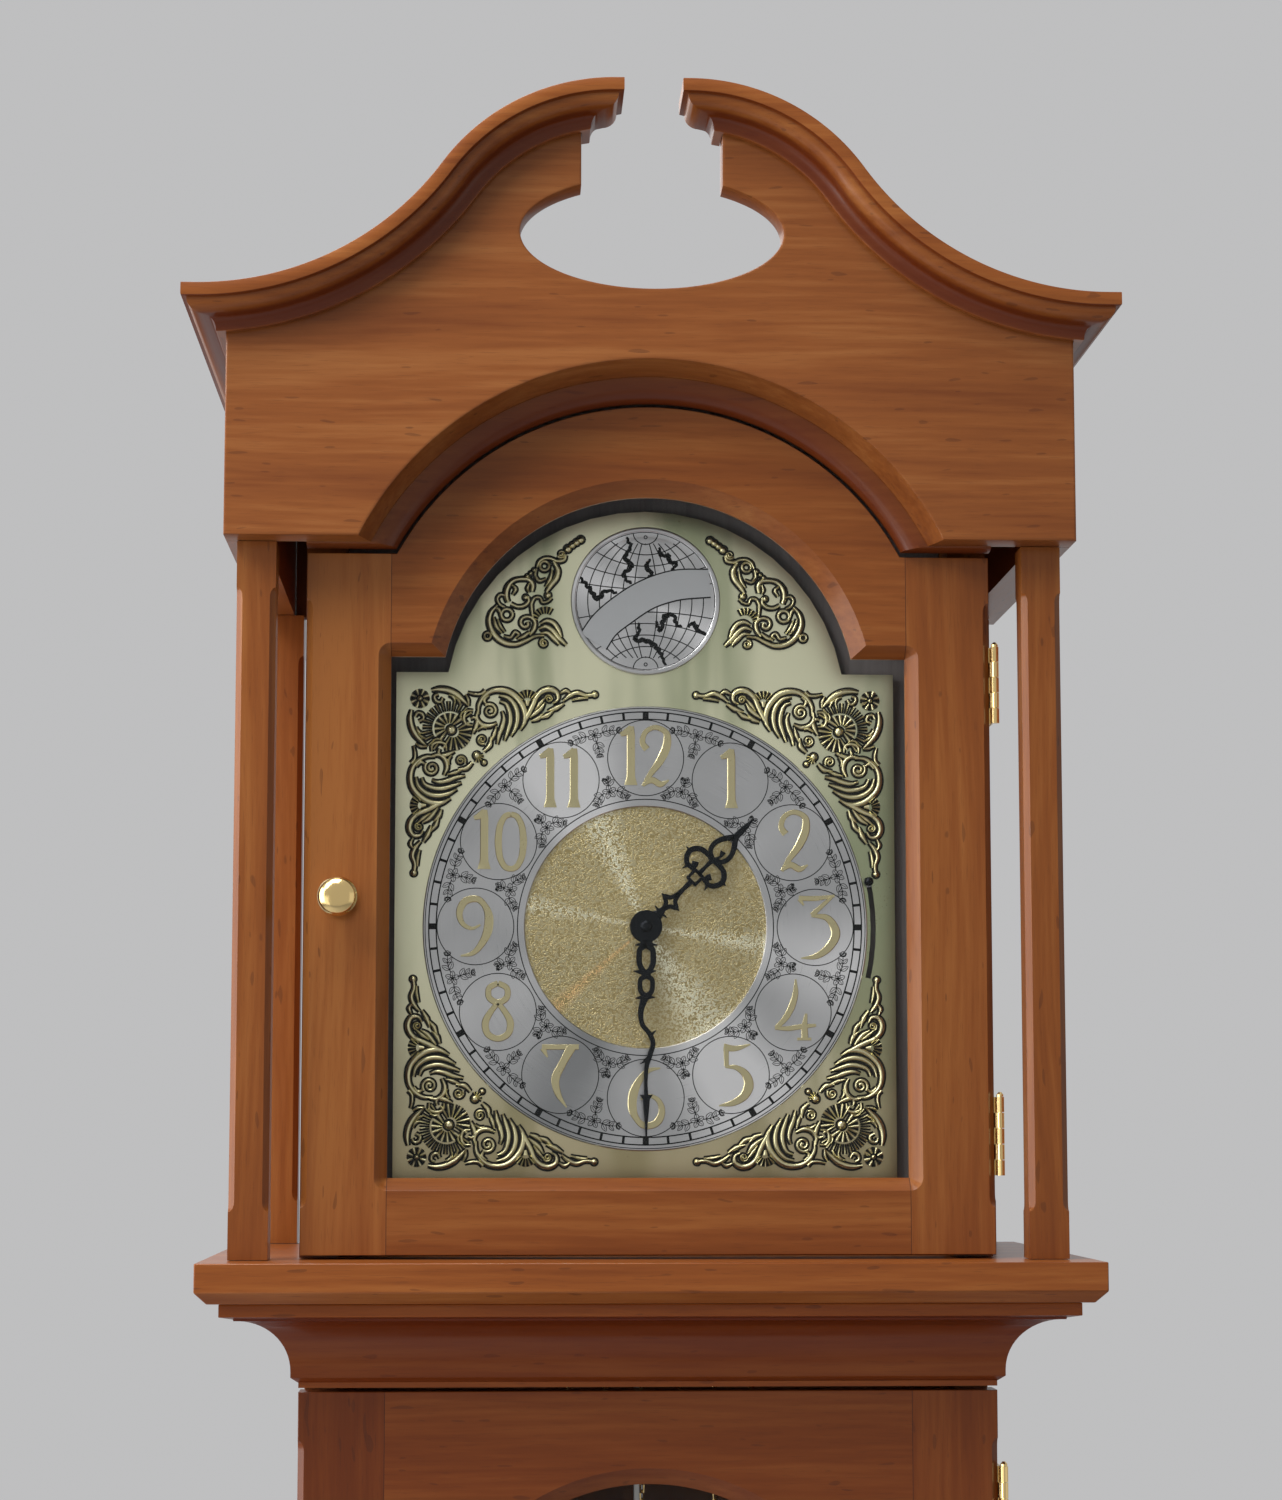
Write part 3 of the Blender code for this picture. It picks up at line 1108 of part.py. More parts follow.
def make_pendulum():
    pivot = (0.0, PENDULUM_DEPTH, PENDULUM_PIVOT)
    half = ROD_WIDTH / 2
    low = PENDULUM_PIVOT - PENDULUM_LENGTH - PENDULUM_TAIL
    bm = bmesh.new()
    add_box(bm, (-half, half), (PENDULUM_DEPTH - ROD_THICKNESS / 2, PENDULUM_DEPTH + ROD_THICKNESS / 2),
            (low, PENDULUM_PIVOT - GAP))
    publish("pendulum_rod", bm, STEEL, pivot)

    bm = bmesh.new()
    back = PENDULUM_DEPTH - ROD_THICKNESS / 2 - GAP
    centre = (0.0, back, PENDULUM_PIVOT - PENDULUM_LENGTH)
    profile = [(0.0, -BOB_THICKNESS)]
    rise = BOB_THICKNESS - 2 * MM
    for i in range(1, 6):
        turn = math.radians(15 * i)
        profile.append((BOB_RADIUS * 0.96 * math.sin(turn), -2 * MM - rise * math.cos(turn)))
    profile += [(BOB_RADIUS, -2.4 * MM), (BOB_RADIUS, 0.0), (0.0, 0.0)]
    add_turned(bm, profile, "y", centre, 32)
    publish("pendulum_bob", bm, BRASS, pivot, round_piece=True)


def main():
    clear_scene()
    datum = bpy.data.objects.new("floor_datum", None)
    datum.location = (0.0, -MIDDLE_DEPTH, SHELF_TOP)
    bpy.context.collection.objects.link(datum)
    make_swan_necks()
    make_scroll_board()
    make_arch_moulding()
    make_columns()
    make_hood_case()
    make_hood_shelf()
    make_hood_cove()
    make_trunk()
    make_base()
    make_doors()
    make_hinges()
    make_dial()
    make_spandrels()
    make_dial_board()
    make_hands()
    make_chime_lever()
    make_movement()
    for name, weight_x in TRAINS:
        make_train(name, weight_x)
    make_pendulum()


main()
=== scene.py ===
"""A grandmother clock in cherry and brass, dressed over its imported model.

Lengths in the shapes are millimetres, measured as a case maker would: widths from the
middle of the clock, depths from the face of the hood door, heights from the hood shelf.
"""
import math

import bmesh
import bpy
import numpy as np
from bpy.props import FloatProperty, FloatVectorProperty, IntProperty, PointerProperty
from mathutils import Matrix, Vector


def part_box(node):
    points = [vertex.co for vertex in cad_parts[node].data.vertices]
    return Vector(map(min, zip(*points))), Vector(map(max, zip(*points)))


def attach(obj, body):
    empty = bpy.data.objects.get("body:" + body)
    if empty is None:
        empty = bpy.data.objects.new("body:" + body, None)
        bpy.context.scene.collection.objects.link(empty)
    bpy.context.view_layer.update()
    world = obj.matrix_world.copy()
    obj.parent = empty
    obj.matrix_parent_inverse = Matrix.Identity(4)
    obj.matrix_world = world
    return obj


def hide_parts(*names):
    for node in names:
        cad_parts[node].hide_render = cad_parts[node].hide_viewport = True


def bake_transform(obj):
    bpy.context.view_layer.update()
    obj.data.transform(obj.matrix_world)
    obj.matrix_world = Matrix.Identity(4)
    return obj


bl_info = {
    "name": "Grandmother Clock",
    "version": (1, 0, 0),
    "blender": (4, 5, 0),
    "location": "View3D > Sidebar > Clock",
    "description": "Builds a swan-neck grandmother clock around its packed solids",
    "category": "Object",
}

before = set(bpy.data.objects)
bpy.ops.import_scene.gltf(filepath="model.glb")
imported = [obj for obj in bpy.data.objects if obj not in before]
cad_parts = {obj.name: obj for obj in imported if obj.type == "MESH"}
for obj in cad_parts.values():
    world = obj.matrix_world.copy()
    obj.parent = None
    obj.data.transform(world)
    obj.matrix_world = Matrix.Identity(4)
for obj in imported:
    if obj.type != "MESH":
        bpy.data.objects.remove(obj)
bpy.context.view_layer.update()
MM = 0.001
DATUM = np.array([0.0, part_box("hood_door_frame")[0].y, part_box("hood_shelf")[1].z])
FLOOR = -DATUM[2] / MM


# Shapes

def skin(rows, length, loop):
    """Quads over rows of points, each row a closed ring; with loop, the last row meets the first."""
    index = np.arange(rows * length).reshape(rows, length)[np.arange(rows + loop) % rows]
    beside = np.roll(index, -1, axis=1)
    return np.stack((index[:-1], beside[:-1], beside[1:], index[1:]), axis=-1).reshape(-1, 4)


class Shape:
    """Closed surfaces gathered into one mesh, with each point's place across its ribbon. Each
    method adds one more surface and returns the shape."""

    def __init__(self):
        self.points = []
        self.across = []
        self.faces = []
        self.count = 0

    def add(self, points, faces, across=0.0):
        """Points in rows of three, and faces that number them within the whole shape."""
        points = np.asarray(points, float).reshape(-1, 3)
        self.points.append(points)
        self.across.append(np.broadcast_to(np.asarray(across, float), len(points)))
        self.faces += faces
        self.count += len(points)
        return self

    def loft(self, rings, loop=False, across=None):
        """Skin over rings of equal length. Quads join each ring to the next; the two ends
        are capped or, with loop, the last ring joins the first."""
        rings = np.asarray(rings, float)
        rows, length, _ = rings.shape
        faces = (skin(rows, length, loop) + self.count).tolist()
        if not loop:
            first = np.arange(length) + self.count
            faces += [first[::-1].tolist(), (first + (rows - 1) * length).tolist()]
        return self.add(rings, faces, 0.0 if across is None else np.tile(across, rows))

    def repeat(self, rings, turns, places):
        """Copies of one closed tube, each turned by its matrix and moved to its place."""
        rows, length, _ = rings.shape
        points = np.einsum("nij,pj->npi", turns, rings.reshape(-1, 3)) + places[:, None, :]
        steps = np.arange(len(places))[:, None, None] * (rows * length) + self.count
        return self.add(points, (skin(rows, length, True) + steps).reshape(-1, 4).tolist())


def spline(knots, count):
    """A smooth curve through knots: cubic pieces whose slopes come from both neighbours.
    Any further columns, such as widths, are carried along the same way."""
    knots = np.asarray(knots, float)
    reach = np.concatenate([[0.0], np.cumsum(np.linalg.norm(np.diff(knots[:, :2], axis=0), axis=1))])
    slope = np.gradient(knots, reach, axis=0)
    at = np.linspace(0.0, reach[-1], count)
    i = np.clip(np.searchsorted(reach, at, side="right") - 1, 0, len(reach) - 2)
    gap = (reach[i + 1] - reach[i])[:, None]
    t = (at - reach[i])[:, None] / gap
    return ((1 + 2 * t) * (1 - t) ** 2 * knots[i] + t * (1 - t) ** 2 * gap * slope[i]
            + t ** 2 * (3 - 2 * t) * knots[i + 1] + t ** 2 * (t - 1) * gap * slope[i + 1])


def circle(centre, radius, start=0.0, end=math.tau, count=48):
    """Points of an arc from one angle to the other, anticlockwise as seen from the front."""
    turn = np.linspace(start, end, count)
    return np.column_stack([centre[0] + radius * np.cos(turn), centre[1] + radius * np.sin(turn)])


def with_width(path, width):
    """The path with its widths as a third column: one width, or a few spread evenly along it."""
    width = np.atleast_1d(np.asarray(width, float))
    share = np.linspace(0.0, 1.0, len(path))
    return np.column_stack([path, np.interp(share, np.linspace(0.0, 1.0, len(width)), width)])


def drawn(knots, widths, fine=7):
    """A smooth curve through the knots of a stroke, with fine points for each, and its widths."""
    return with_width(spline(knots, fine * len(knots)), widths)


def strokes(text):
    """Strokes read from a table: knots as x,z pairs, a colon, then the widths along them.
    Semicolons part one stroke from the next."""
    table = []
    for line in text.split(";"):
        knots, widths = line.split(":")
        table.append((np.array([pair.split(",") for pair in knots.split()], float),
                      np.array(widths.split(), float)))
    return table


def turned_flat(path, angle, centre):
    """A flat path turned clockwise by angle about the origin, then moved to centre."""
    path = np.array(path, float)
    x, z = path[:, 0], path[:, 1]
    cos, sin = math.cos(angle), math.sin(angle)
    path[:, 0], path[:, 1] = centre[0] + x * cos + z * sin, centre[1] - x * sin + z * cos
    return path


# Sections of a stroke, from its back to its front.
FLAT = np.array([(-1, 0), (1, 0), (1, 1), (-1, 1)], float)
RAISED = np.array([(-1, 0), (1, 0), (1, 0.72), (0.84, 1), (-0.84, 1), (-1, 0.72)], float)
CROWNED = np.array([(-1.1, 0), (1.1, 0), (0.95, 0.6), (0.5, 0.92), (0, 1), (-0.5, 0.92), (-0.95, 0.6)], float)


def stroke(shape, path, back, front, section=FLAT, loop=False):
    """Carry a section along a flat path of (x, z, width). The section's first number is its
    share of half the width, to the side of the path; its second runs from back to front."""
    path = np.asarray(path, float)
    if loop:
        ahead, behind = np.roll(path, -1, axis=0), np.roll(path, 1, axis=0)
        tangent = ahead[:, :2] - behind[:, :2]
    else:
        tangent = np.gradient(path[:, :2], axis=0)
    tangent /= np.maximum(np.linalg.norm(tangent, axis=1), 1e-9)[:, None]
    half = np.maximum(path[:, 2], 0.06) / 2
    aside = section[None, :, 0] * half[:, None]
    x = path[:, 0, None] - tangent[:, 1, None] * aside
    z = path[:, 1, None] + tangent[:, 0, None] * aside
    y = np.broadcast_to(back + (front - back) * section[:, 1], x.shape)
    return shape.loft(np.stack([x, y, z], axis=-1), loop, section[:, 0])


def offset(outline, inwards):
    """A closed outline moved to its inner side, each corner along the mean of its two edges."""
    outline = np.asarray(outline, float)
    edge = np.roll(outline, -1, axis=0) - outline
    edge /= np.maximum(np.linalg.norm(edge, axis=1), 1e-9)[:, None]
    before = np.roll(edge, 1, axis=0)
    lean = edge + before
    lean /= np.maximum(np.linalg.norm(lean, axis=1), 1e-6)[:, None]
    normal = np.column_stack([-lean[:, 1], lean[:, 0]])
    spread = np.maximum((edge * lean).sum(axis=1), 0.45)[:, None]
    area = (outline[:, 0] * np.roll(outline[:, 1], -1) - np.roll(outline[:, 0], -1) * outline[:, 1]).sum()
    return outline + normal * inwards * math.copysign(1.0, area) / spread


def layered(levels):
    """A flat piece built up of levels, each an outline, its depth and how far it is inset."""
    rings = []
    for outline, y, inset in levels:
        ring = offset(outline, inset)
        rings.append(np.column_stack([ring[:, 0], np.full(len(ring), y), ring[:, 1]]))
    return Shape().loft(rings)


def turned(shape, profile, axis, centre, steps=48, loop=False):
    """A lathe piece: each (radius, along) of the profile makes a circle about the axis."""
    profile = np.asarray(profile, float)
    angle = np.linspace(0.0, math.tau, steps, endpoint=False)
    radius = np.maximum(profile[:, 0], 0.02)[:, None]
    u, v = radius * np.cos(angle), radius * np.sin(angle)
    along = np.broadcast_to(profile[:, 1, None], u.shape)
    order = (u, along, v) if axis == "y" else (u, v, along)
    return shape.loft(np.stack(order, axis=-1) + np.asarray(centre, float), loop)


def rounded(profile, steps=4, share=0.35):
    """A profile of (radius, along) with each inner corner replaced by a small curve."""
    profile = np.asarray(profile, float)
    points = [profile[0]]
    for before, corner, after in zip(profile[:-2], profile[1:-1], profile[2:]):
        a, b = corner + (before - corner) * share, corner + (after - corner) * share
        for t in np.linspace(0.0, 1.0, steps):
            points.append((1 - t) ** 2 * a + 2 * t * (1 - t) * corner + t ** 2 * b)
    points.append(profile[-1])
    return np.array(points)


def mended(mesh, weld=0.0, flat=False, outwards=True):
    """Weld the points of a mesh that lie within a distance in metres, merge its flat faces,
    and turn its faces outwards."""
    bm = bmesh.new()
    bm.from_mesh(mesh)
    if weld:
        bmesh.ops.remove_doubles(bm, verts=bm.verts, dist=weld)
    if flat:
        bmesh.ops.dissolve_limit(bm, angle_limit=math.radians(1.0), verts=bm.verts, edges=bm.edges)
    if outwards:
        bmesh.ops.recalc_face_normals(bm, faces=bm.faces)
    bm.to_mesh(mesh)
    bm.free()


def piece(name, shape, finish, body="case", stands_for=(), smooth=35.0):
    """Make the shape an object in place, facing outwards, riding on its body."""
    mesh = bpy.data.meshes.new(name)
    mesh.from_pydata((np.concatenate(shape.points) * MM + DATUM).tolist(), [], shape.faces)
    corner = np.zeros(len(mesh.loops), np.int32)
    mesh.loops.foreach_get("vertex_index", corner)
    u = np.concatenate(shape.across)[corner] * 0.25 + 0.5
    places = mesh.uv_layers.new(name="across")
    places.data.foreach_set("uv", np.column_stack([u, np.zeros(len(u))]).astype(np.float32).ravel())
    mended(mesh)
    return dress(name, mesh, finish, body, stands_for, smooth)


def dress(name, mesh, finish, body, stands_for, smooth):
    """Put a mesh in the scene with its finish, body, slot and solids, its edges sharp
    above an angle in degrees."""
    mesh.shade_smooth()
    mesh.set_sharp_from_angle(angle=math.radians(smooth))
    mesh.materials.clear()
    mesh.materials.append(finish)
    made = bpy.data.objects.new(name, mesh)
    bpy.context.scene.collection.objects.link(made)
    if body:
        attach(made, body)
    if stands_for:
        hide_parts(*stands_for)
    return made


def eased(node, finish, width=0.5):
    """A merged copy of a planed board from the frame, its arrises taken off by a small bevel."""
    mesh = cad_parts[node].data.copy()
    mended(mesh, 0.00001, flat=True)
    made = dress(node + "_planed", mesh, finish, "case", (node,), 35.0)
    edge = made.modifiers.new("eased arris", "BEVEL")
    edge.width = width * MM
    edge.segments = 2
    edge.limit_method = "ANGLE"
    edge.angle_limit = math.radians(30)


# Finishes

def worked(operation, other_first=False):
    """An arithmetic method of Wire, which adds the Math node of one operation."""
    if other_first:
        return lambda self, other: self.math(operation, other, self)
    return lambda self, *other: self.math(operation, self, *other)


class Wire:
    """A socket of a material. Arithmetic on it adds the Math nodes that work it out."""

    def __init__(self, tree, socket):
        self.tree = tree
        self.socket = socket

    def math(self, operation, *values):
        """The wire out of one Math node, its inputs wires or numbers."""
        node = self.tree.nodes.new("ShaderNodeMath")
        node.operation = operation
        for place, value in zip(node.inputs, values):
            if isinstance(value, Wire):
                self.tree.links.new(value.socket, place)
            else:
                place.default_value = value
        return Wire(self.tree, node.outputs[0])

    __add__ = __radd__ = worked("ADD")
    __mul__ = __rmul__ = worked("MULTIPLY")
    __sub__ = worked("SUBTRACT")
    __rsub__ = worked("SUBTRACT", other_first=True)
    __pow__ = worked("POWER")
    __gt__ = worked("GREATER_THAN")
    __lt__ = worked("LESS_THAN")
    __abs__ = worked("ABSOLUTE")

    def step(self, low, high):
        """0 below low, 1 above high, and a smooth rise between them."""
        node = self.tree.nodes.new("ShaderNodeMapRange")
        node.interpolation_type = "SMOOTHSTEP"
        self.tree.links.new(self.socket, node.inputs["Value"])
        node.inputs["From Min"].default_value = low
        node.inputs["From Max"].default_value = high
        return Wire(self.tree, node.outputs[0])


class Finish:
    """A material under construction: its tree, and one Principled shader."""

    def __init__(self, name, slot, **constants):
        self.material = bpy.data.materials.new(name)
        self.material.use_nodes = True
        self.material["slot"] = slot
        self.tree = self.material.node_tree
        self.shader = self.tree.nodes["Principled BSDF"]
        for key, value in constants.items():
            self.shader.inputs[key.replace("_", " ")].default_value = value
        self.place = self.add("ShaderNodeTexCoord", {}, {}, "Object")
        split = self.add("ShaderNodeSeparateXYZ", {}, {"Vector": self.place}, None)
        self.x, self.y, self.z = (Wire(self.tree, out) for out in split.outputs)

    def add(self, kind, settings, inputs, output=0):
        """One node: its settings first, then its sockets' values or links."""
        node = self.tree.nodes.new(kind)
        for key, value in settings.items():
            if key == "stops":
                ramp = node.color_ramp.elements
                while len(ramp) < len(value):
                    ramp.new(0.5)
                for stop, (position, colour) in zip(ramp, value):
                    stop.position = position
                    stop.color = (*colour, 1.0)
            else:
                setattr(node, key, value)
        for key, value in inputs.items():
            if isinstance(value, Wire):
                self.tree.links.new(value.socket, node.inputs[key])
            else:
                node.inputs[key].default_value = value
        return node if output is None else Wire(self.tree, node.outputs[output])

    def vector(self, x, y, z):
        """A vector put together from three wires or numbers."""
        return self.add("ShaderNodeCombineXYZ", {}, {"X": x, "Y": y, "Z": z})

    def noise(self, vector, scale, detail=3.0, distortion=0.0):
        """Soft noise from 0 to 1, read at a vector."""
        return self.add("ShaderNodeTexNoise", {}, {"Vector": vector, "Scale": scale, "Detail": detail,
                                                   "Distortion": distortion})

    def mix(self, factor, first, second):
        """Colours mixed by factor; the sockets of a Mix node's colours are its seventh and eighth."""
        first, second = (value if isinstance(value, Wire) else (*value, 1.0) for value in (first, second))
        return self.add("ShaderNodeMix", {"data_type": "RGBA"}, {0: factor, 6: first, 7: second}, 2)

    def ramp(self, tone, *stops):
        """Colours read from a ramp of (position, colour) by a tone."""
        return self.add("ShaderNodeValToRGB", {"stops": stops}, {"Fac": tone})

    def ribbon(self):
        """The place across its ribbon that the mesh carries: one half in the ribbon's middle."""
        across = self.add("ShaderNodeUVMap", {"uv_map": "across"}, {}, "UV")
        return self.add("ShaderNodeSeparateXYZ", {}, {"Vector": across})

    def drive(self, **sockets):
        """Link wires to the shader's sockets, an underscore for each space in a socket's name."""
        for key, value in sockets.items():
            self.tree.links.new(value.socket, self.shader.inputs[key.replace("_", " ")])

    def relief(self, height, strength, distance):
        """Bump from a height, its distance in metres."""
        self.drive(Normal=self.add("ShaderNodeBump", {}, {"Strength": strength, "Distance": distance,
                                                          "Height": height}, "Normal"))


def cherry(name, grain, regions=(), joint=None, painted_light=1.0, painted_side_light=None, hollow=False):
    """Cherry with its figure along an axis. Each region is (mask, axis): where the mask is 1,
    the board there has that grain, as the pieces of a frame or a mitre do. joint darkens a
    hair line. The light factor scales every tone of this piece's copy of the wood: painted
    light and shade. The side term raises the tone for painted light on one side, and lowers it
    below nought for painted shade. With hollow, shade is painted in: a darker, redder tone where
    the mesh's own mark says that a moulding is hollow. Streaks, fine figure and pores are one
    noise at three widths, drawn out along the grain; dark flecks are a rarer one."""
    look = bpy.context.scene.clock_colours
    finish = Finish(name, "cherry", Specular_IOR_Level=0.14, Coat_Weight=0.35, Coat_Roughness=0.16)
    x, y, z = finish.x, finish.y, finish.z
    along = {"x": (y, z, x), "y": (x, z, y), "z": (x, y, z)}
    a, b, c = along[grain]
    board = 0.0
    for number, (mask, axis) in enumerate(regions):
        chosen = mask(x, y, z)
        p, q, r = along[axis]
        a, b, c = (first + chosen * (second - first) for first, second in ((a, p), (b, q), (c, r)))
        board = board + chosen * (0.31 + 0.17 * number)
    a = a + board
    sway = finish.noise(finish.vector(a, b, c * 0.35), 9.0, 1.0) - 0.5
    spread = finish.vector(a + sway * 0.02, b + sway * 0.012, c * 0.05)
    fibre = finish.vector(a, b, c * 0.035)
    streak = finish.noise(spread, 55.0, 3.0)
    figure = finish.noise(spread, 330.0, 2.0)
    pore = finish.noise(fibre, 2300.0, 1.0)
    fleck = finish.noise(finish.vector(a, b, c * 0.22), 330.0, 0.0)
    tone = streak * 0.62 + figure * 0.38
    # painted light on one side where the side term is above nought, painted shade where it is below
    if painted_side_light:
        tone = tone + painted_side_light(x, y, z)
    # painted light and shade: every tone is scaled by this piece's light factor
    dark, mid, pale = (np.array(colour) * painted_light for colour in (look.cherry_dark, look.cherry, look.cherry_pale))
    colour = finish.ramp(tone, (0.3, dark), (0.5, mid), (0.7, pale))
    marks = pore.step(0.6, 0.72) * 0.22 + fleck.step(0.77, 0.8) * 0.35
    if joint:
        marks = marks + joint(x, y, z) * 0.85
    colour = finish.mix(marks, colour, (0.055, 0.016, 0.007))
    # painted shade in the hollows: darker and redder where the mesh's own mark is high
    if hollow:
        colour = finish.mix(finish.ribbon().step(0.5, 0.75) * 0.85, colour, mid * (0.42, 0.2, 0.12))
    finish.drive(Base_Color=colour, Roughness=0.34 + figure * 0.12)
    finish.relief(pore * 0.7 + figure * 0.3, 0.12, 0.0004)
    return finish.material


def up(height):
    """A height above the hood shelf, in millimetres, as metres above the floor."""
    return height * MM + float(DATUM[2])


def back(depth):
    """A depth behind the door face, in millimetres, as metres in the frame."""
    return depth * MM + float(DATUM[1])


def beside_mitre(half, front):
    """1 on the side return of a mitred moulding and 0 on its front length."""
    return lambda x, y, z: (abs(x) - half * MM) > (back(front) - y)


def plain_wood(name, slot, colour, vary):
    """Stained or bare wood of the inside, its streaks drawn out upwards."""
    finish = Finish(name, slot, Specular_IOR_Level=0.3)
    spread = finish.vector(finish.x, finish.y, finish.z * 0.06)
    streak = finish.noise(spread, 70.0, 4.0)
    fibre = finish.noise(spread, 900.0, 2.0)
    colour = np.array(colour)
    tone = finish.ramp(streak * 0.7 + fibre * 0.3, (0.3, colour * (1 - vary)), (0.7, colour * (1 + vary)))
    finish.drive(Base_Color=tone, Roughness=0.55 + fibre * 0.2)
    finish.relief(fibre, 0.15, 0.0004)
    return finish.material


def metal(name, slot, colour, roughness, cloud=0.06, grain=900.0, stretch=(1.0, 1.0, 1.0), relief=0.03):
    """Worked metal: soft clouds in its tone and sheen, and fine scratches. The higher the
    stretch along an axis, the shorter the scratches that way."""
    finish = Finish(name, slot, Metallic=1.0)
    spread = finish.vector(finish.x * stretch[0], finish.y * stretch[1], finish.z * stretch[2])
    soft = finish.noise(finish.place, 28.0, 2.0)
    fine = finish.noise(spread, grain, 2.0)
    colour = np.array(colour)
    tone = finish.mix(soft, colour * (1 - cloud), np.minimum(colour * (1 + cloud), 1.0))
    finish.drive(Base_Color=tone, Roughness=roughness + (fine - 0.5) * 0.12 + (soft - 0.5) * 0.06)
    finish.relief(fine, relief, 0.0002)
    return finish.material


def relief_metal(name, slot, bright, deep):
    """Cast ornament: bright on the crown of each ribbon and black in its quirks."""
    finish = Finish(name, slot, Metallic=1.0)
    edge = abs(finish.ribbon() - 0.5).step(0.18, 0.26)
    wear = finish.noise(finish.place, 700.0, 2.0)
    tone = finish.mix(wear, np.array(bright) * 0.8, bright)
    finish.drive(Base_Color=finish.mix(edge, tone, deep), Roughness=0.3 + edge * 0.35 + (wear - 0.5) * 0.1,
                 Metallic=1.0 - edge * 0.7)
    finish.relief(wear, 0.06, 0.0003)
    return finish.material


def around(finish, middle):
    """The clock angle about a middle on the dial's upright line, and the distance from it."""
    z = finish.z - up(middle)
    return finish.x.math("ARCTAN2", finish.x, z), (finish.x * finish.x + z * z) ** 0.5


def sectors(angle, places):
    """A sum of soft rays, each given by its clock angle, half its width and its gain: painted
    highlights, and painted shade where the gain is below nought.
    """
    total = 0.0
    for centre, width, gain in places:
        total = total + (1.0 - abs(angle - centre).step(0.0, width)) * gain
    return total


def brushed(name, slot, colour, middle, painted_shines):
    """A silvered ring brushed round its middle, with painted highlights and shade: brighter where
    the brushing would turn to the window, darker where it turns away, and fine circular scratches."""
    finish = Finish(name, slot, Metallic=1.0)
    angle, reach = around(finish, middle)
    scratch = finish.noise(finish.vector(reach * 3000.0, angle * 3.0, 0.0), 1.0, 2.0)
    soft = finish.noise(finish.place, 22.0, 2.0)
    # painted highlights and shade by clock angle, with soft clouds and scratches
    painted_sheen_and_scratches = sectors(angle, painted_shines) + soft * 0.45 + scratch * 0.16 + 0.08
    colour = np.array(colour)
    finish.drive(Base_Color=finish.mix(painted_sheen_and_scratches, colour * 0.4, np.minimum(colour * 1.3, 1.0)),
                 Roughness=0.3 + (scratch - 0.5) * 0.12)
    finish.relief(scratch, 0.03, 0.0002)
    return finish.material


def burnished(name, slot, colour):
    """The dial plate: lacquered brass with tall soft clouds in it, warmer towards its foot."""
    finish = Finish(name, slot, Metallic=1.0)
    cloud = finish.noise(finish.vector(finish.x, finish.y, finish.z * 0.2), 19.0, 3.0, 0.6)
    fine = finish.noise(finish.place, 900.0, 2.0)
    colour = np.array(colour)
    bright = np.minimum(colour * (1.19, 1.17, 1.4), 1.0)
    tone = finish.mix(cloud.step(0.36, 0.6), colour * (0.55, 0.6, 0.62), bright)
    foot = 1.0 - finish.z.step(up(20.0), up(170.0))
    tone = finish.mix(foot * 0.75, tone, colour * (0.6, 0.44, 0.38))
    finish.drive(Base_Color=tone, Roughness=0.3 + (cloud - 0.5) * 0.12 + (fine - 0.5) * 0.04)
    finish.relief(fine, 0.01, 0.0001)
    return finish.material


def matted(name, slot, colour):
    """A gilt centre matted with a punch: bright grains on a darker ground, and painted highlights:
    rays of brighter grains at given clock angles, and an orange painted glint at one more."""
    finish = Finish(name, slot, Metallic=1.0)
    grains = finish.noise(finish.place, 760.0, 1.0, 1.5).step(0.46, 0.55)
    soft = finish.noise(finish.place, 26.0, 1.0)
    angle, _ = around(finish, DIAL_CENTRE)
    # painted highlights: rays in which the grains are brighter
    rays = sectors(angle, ((-0.42, 0.26, 1.0), (-1.38, 0.13, 0.7), (1.72, 0.15, 0.9), (2.6, 0.42, 1.0)))
    # painted glint: an orange highlight at one clock angle
    painted_glint = sectors(angle, ((-2.3, 0.1, 1.0),))
    colour = np.array(colour)
    ground = finish.mix(soft, colour * 0.66, colour * 1.05)
    lit = finish.mix(grains * (0.24 + rays * 0.76), ground, (1.0, 0.98, 0.74))
    lit = finish.mix(painted_glint * grains * 0.6, lit, (1.0, 0.55, 0.2))
    finish.drive(Base_Color=lit, Roughness=0.38 - grains * 0.08)
    finish.relief(grains, 0.4, 0.0003)
    return finish.material


def enamel(name, slot, colour, roughness):
    """Japanned or printed black, a little uneven in its sheen."""
    finish = Finish(name, slot, Specular_IOR_Level=0.15)
    flow = finish.noise(finish.place, 260.0, 3.0)
    colour = np.array(colour)
    finish.drive(Base_Color=finish.mix(flow, colour * 0.7, colour * 1.3),
                 Roughness=roughness + (flow - 0.5) * 0.2)
    finish.relief(flow, 0.04, 0.0002)
    return finish.material


def pane(name, slot):
    """Window glass: almost clear, with a slow waviness in its surface."""
    finish = Finish(name, slot, Base_Color=(0.06, 0.07, 0.065, 1.0), IOR=1.5)
    wave = finish.noise(finish.place, 9.0, 1.0)
    finish.drive(Roughness=0.02 + wave * 0.02, Alpha=0.05 + wave * 0.02)
    finish.relief(wave, 0.05, 0.002)
    return finish.material


# Sizes and colours that a user would change

class ClockSizes(bpy.types.PropertyGroup):
    board_ease: FloatProperty(name="Arris", description="Round taken off the edges of the boards",
                              default=0.0005, unit="LENGTH")
    neck_steps: IntProperty(name="Neck steps", description="Lengths along each swan neck", default=96)
    link_pitch: FloatProperty(name="Link pitch", description="Distance from one chain link to the next",
                              default=0.0041, unit="LENGTH")
    link_wire: FloatProperty(name="Link wire", description="Thickness of the wire of a chain link",
                             default=0.0011, unit="LENGTH")
    engraving: FloatProperty(name="Engraving", description="Width of the thin lines on the chapter ring",
                             default=0.00045, unit="LENGTH")
    key_size: FloatProperty(name="Lamp size", description="Side of the main lamp", default=0.6, unit="LENGTH")
    key_power: FloatProperty(name="Lamp power", description="Power of the main lamp in watts", default=14.0)


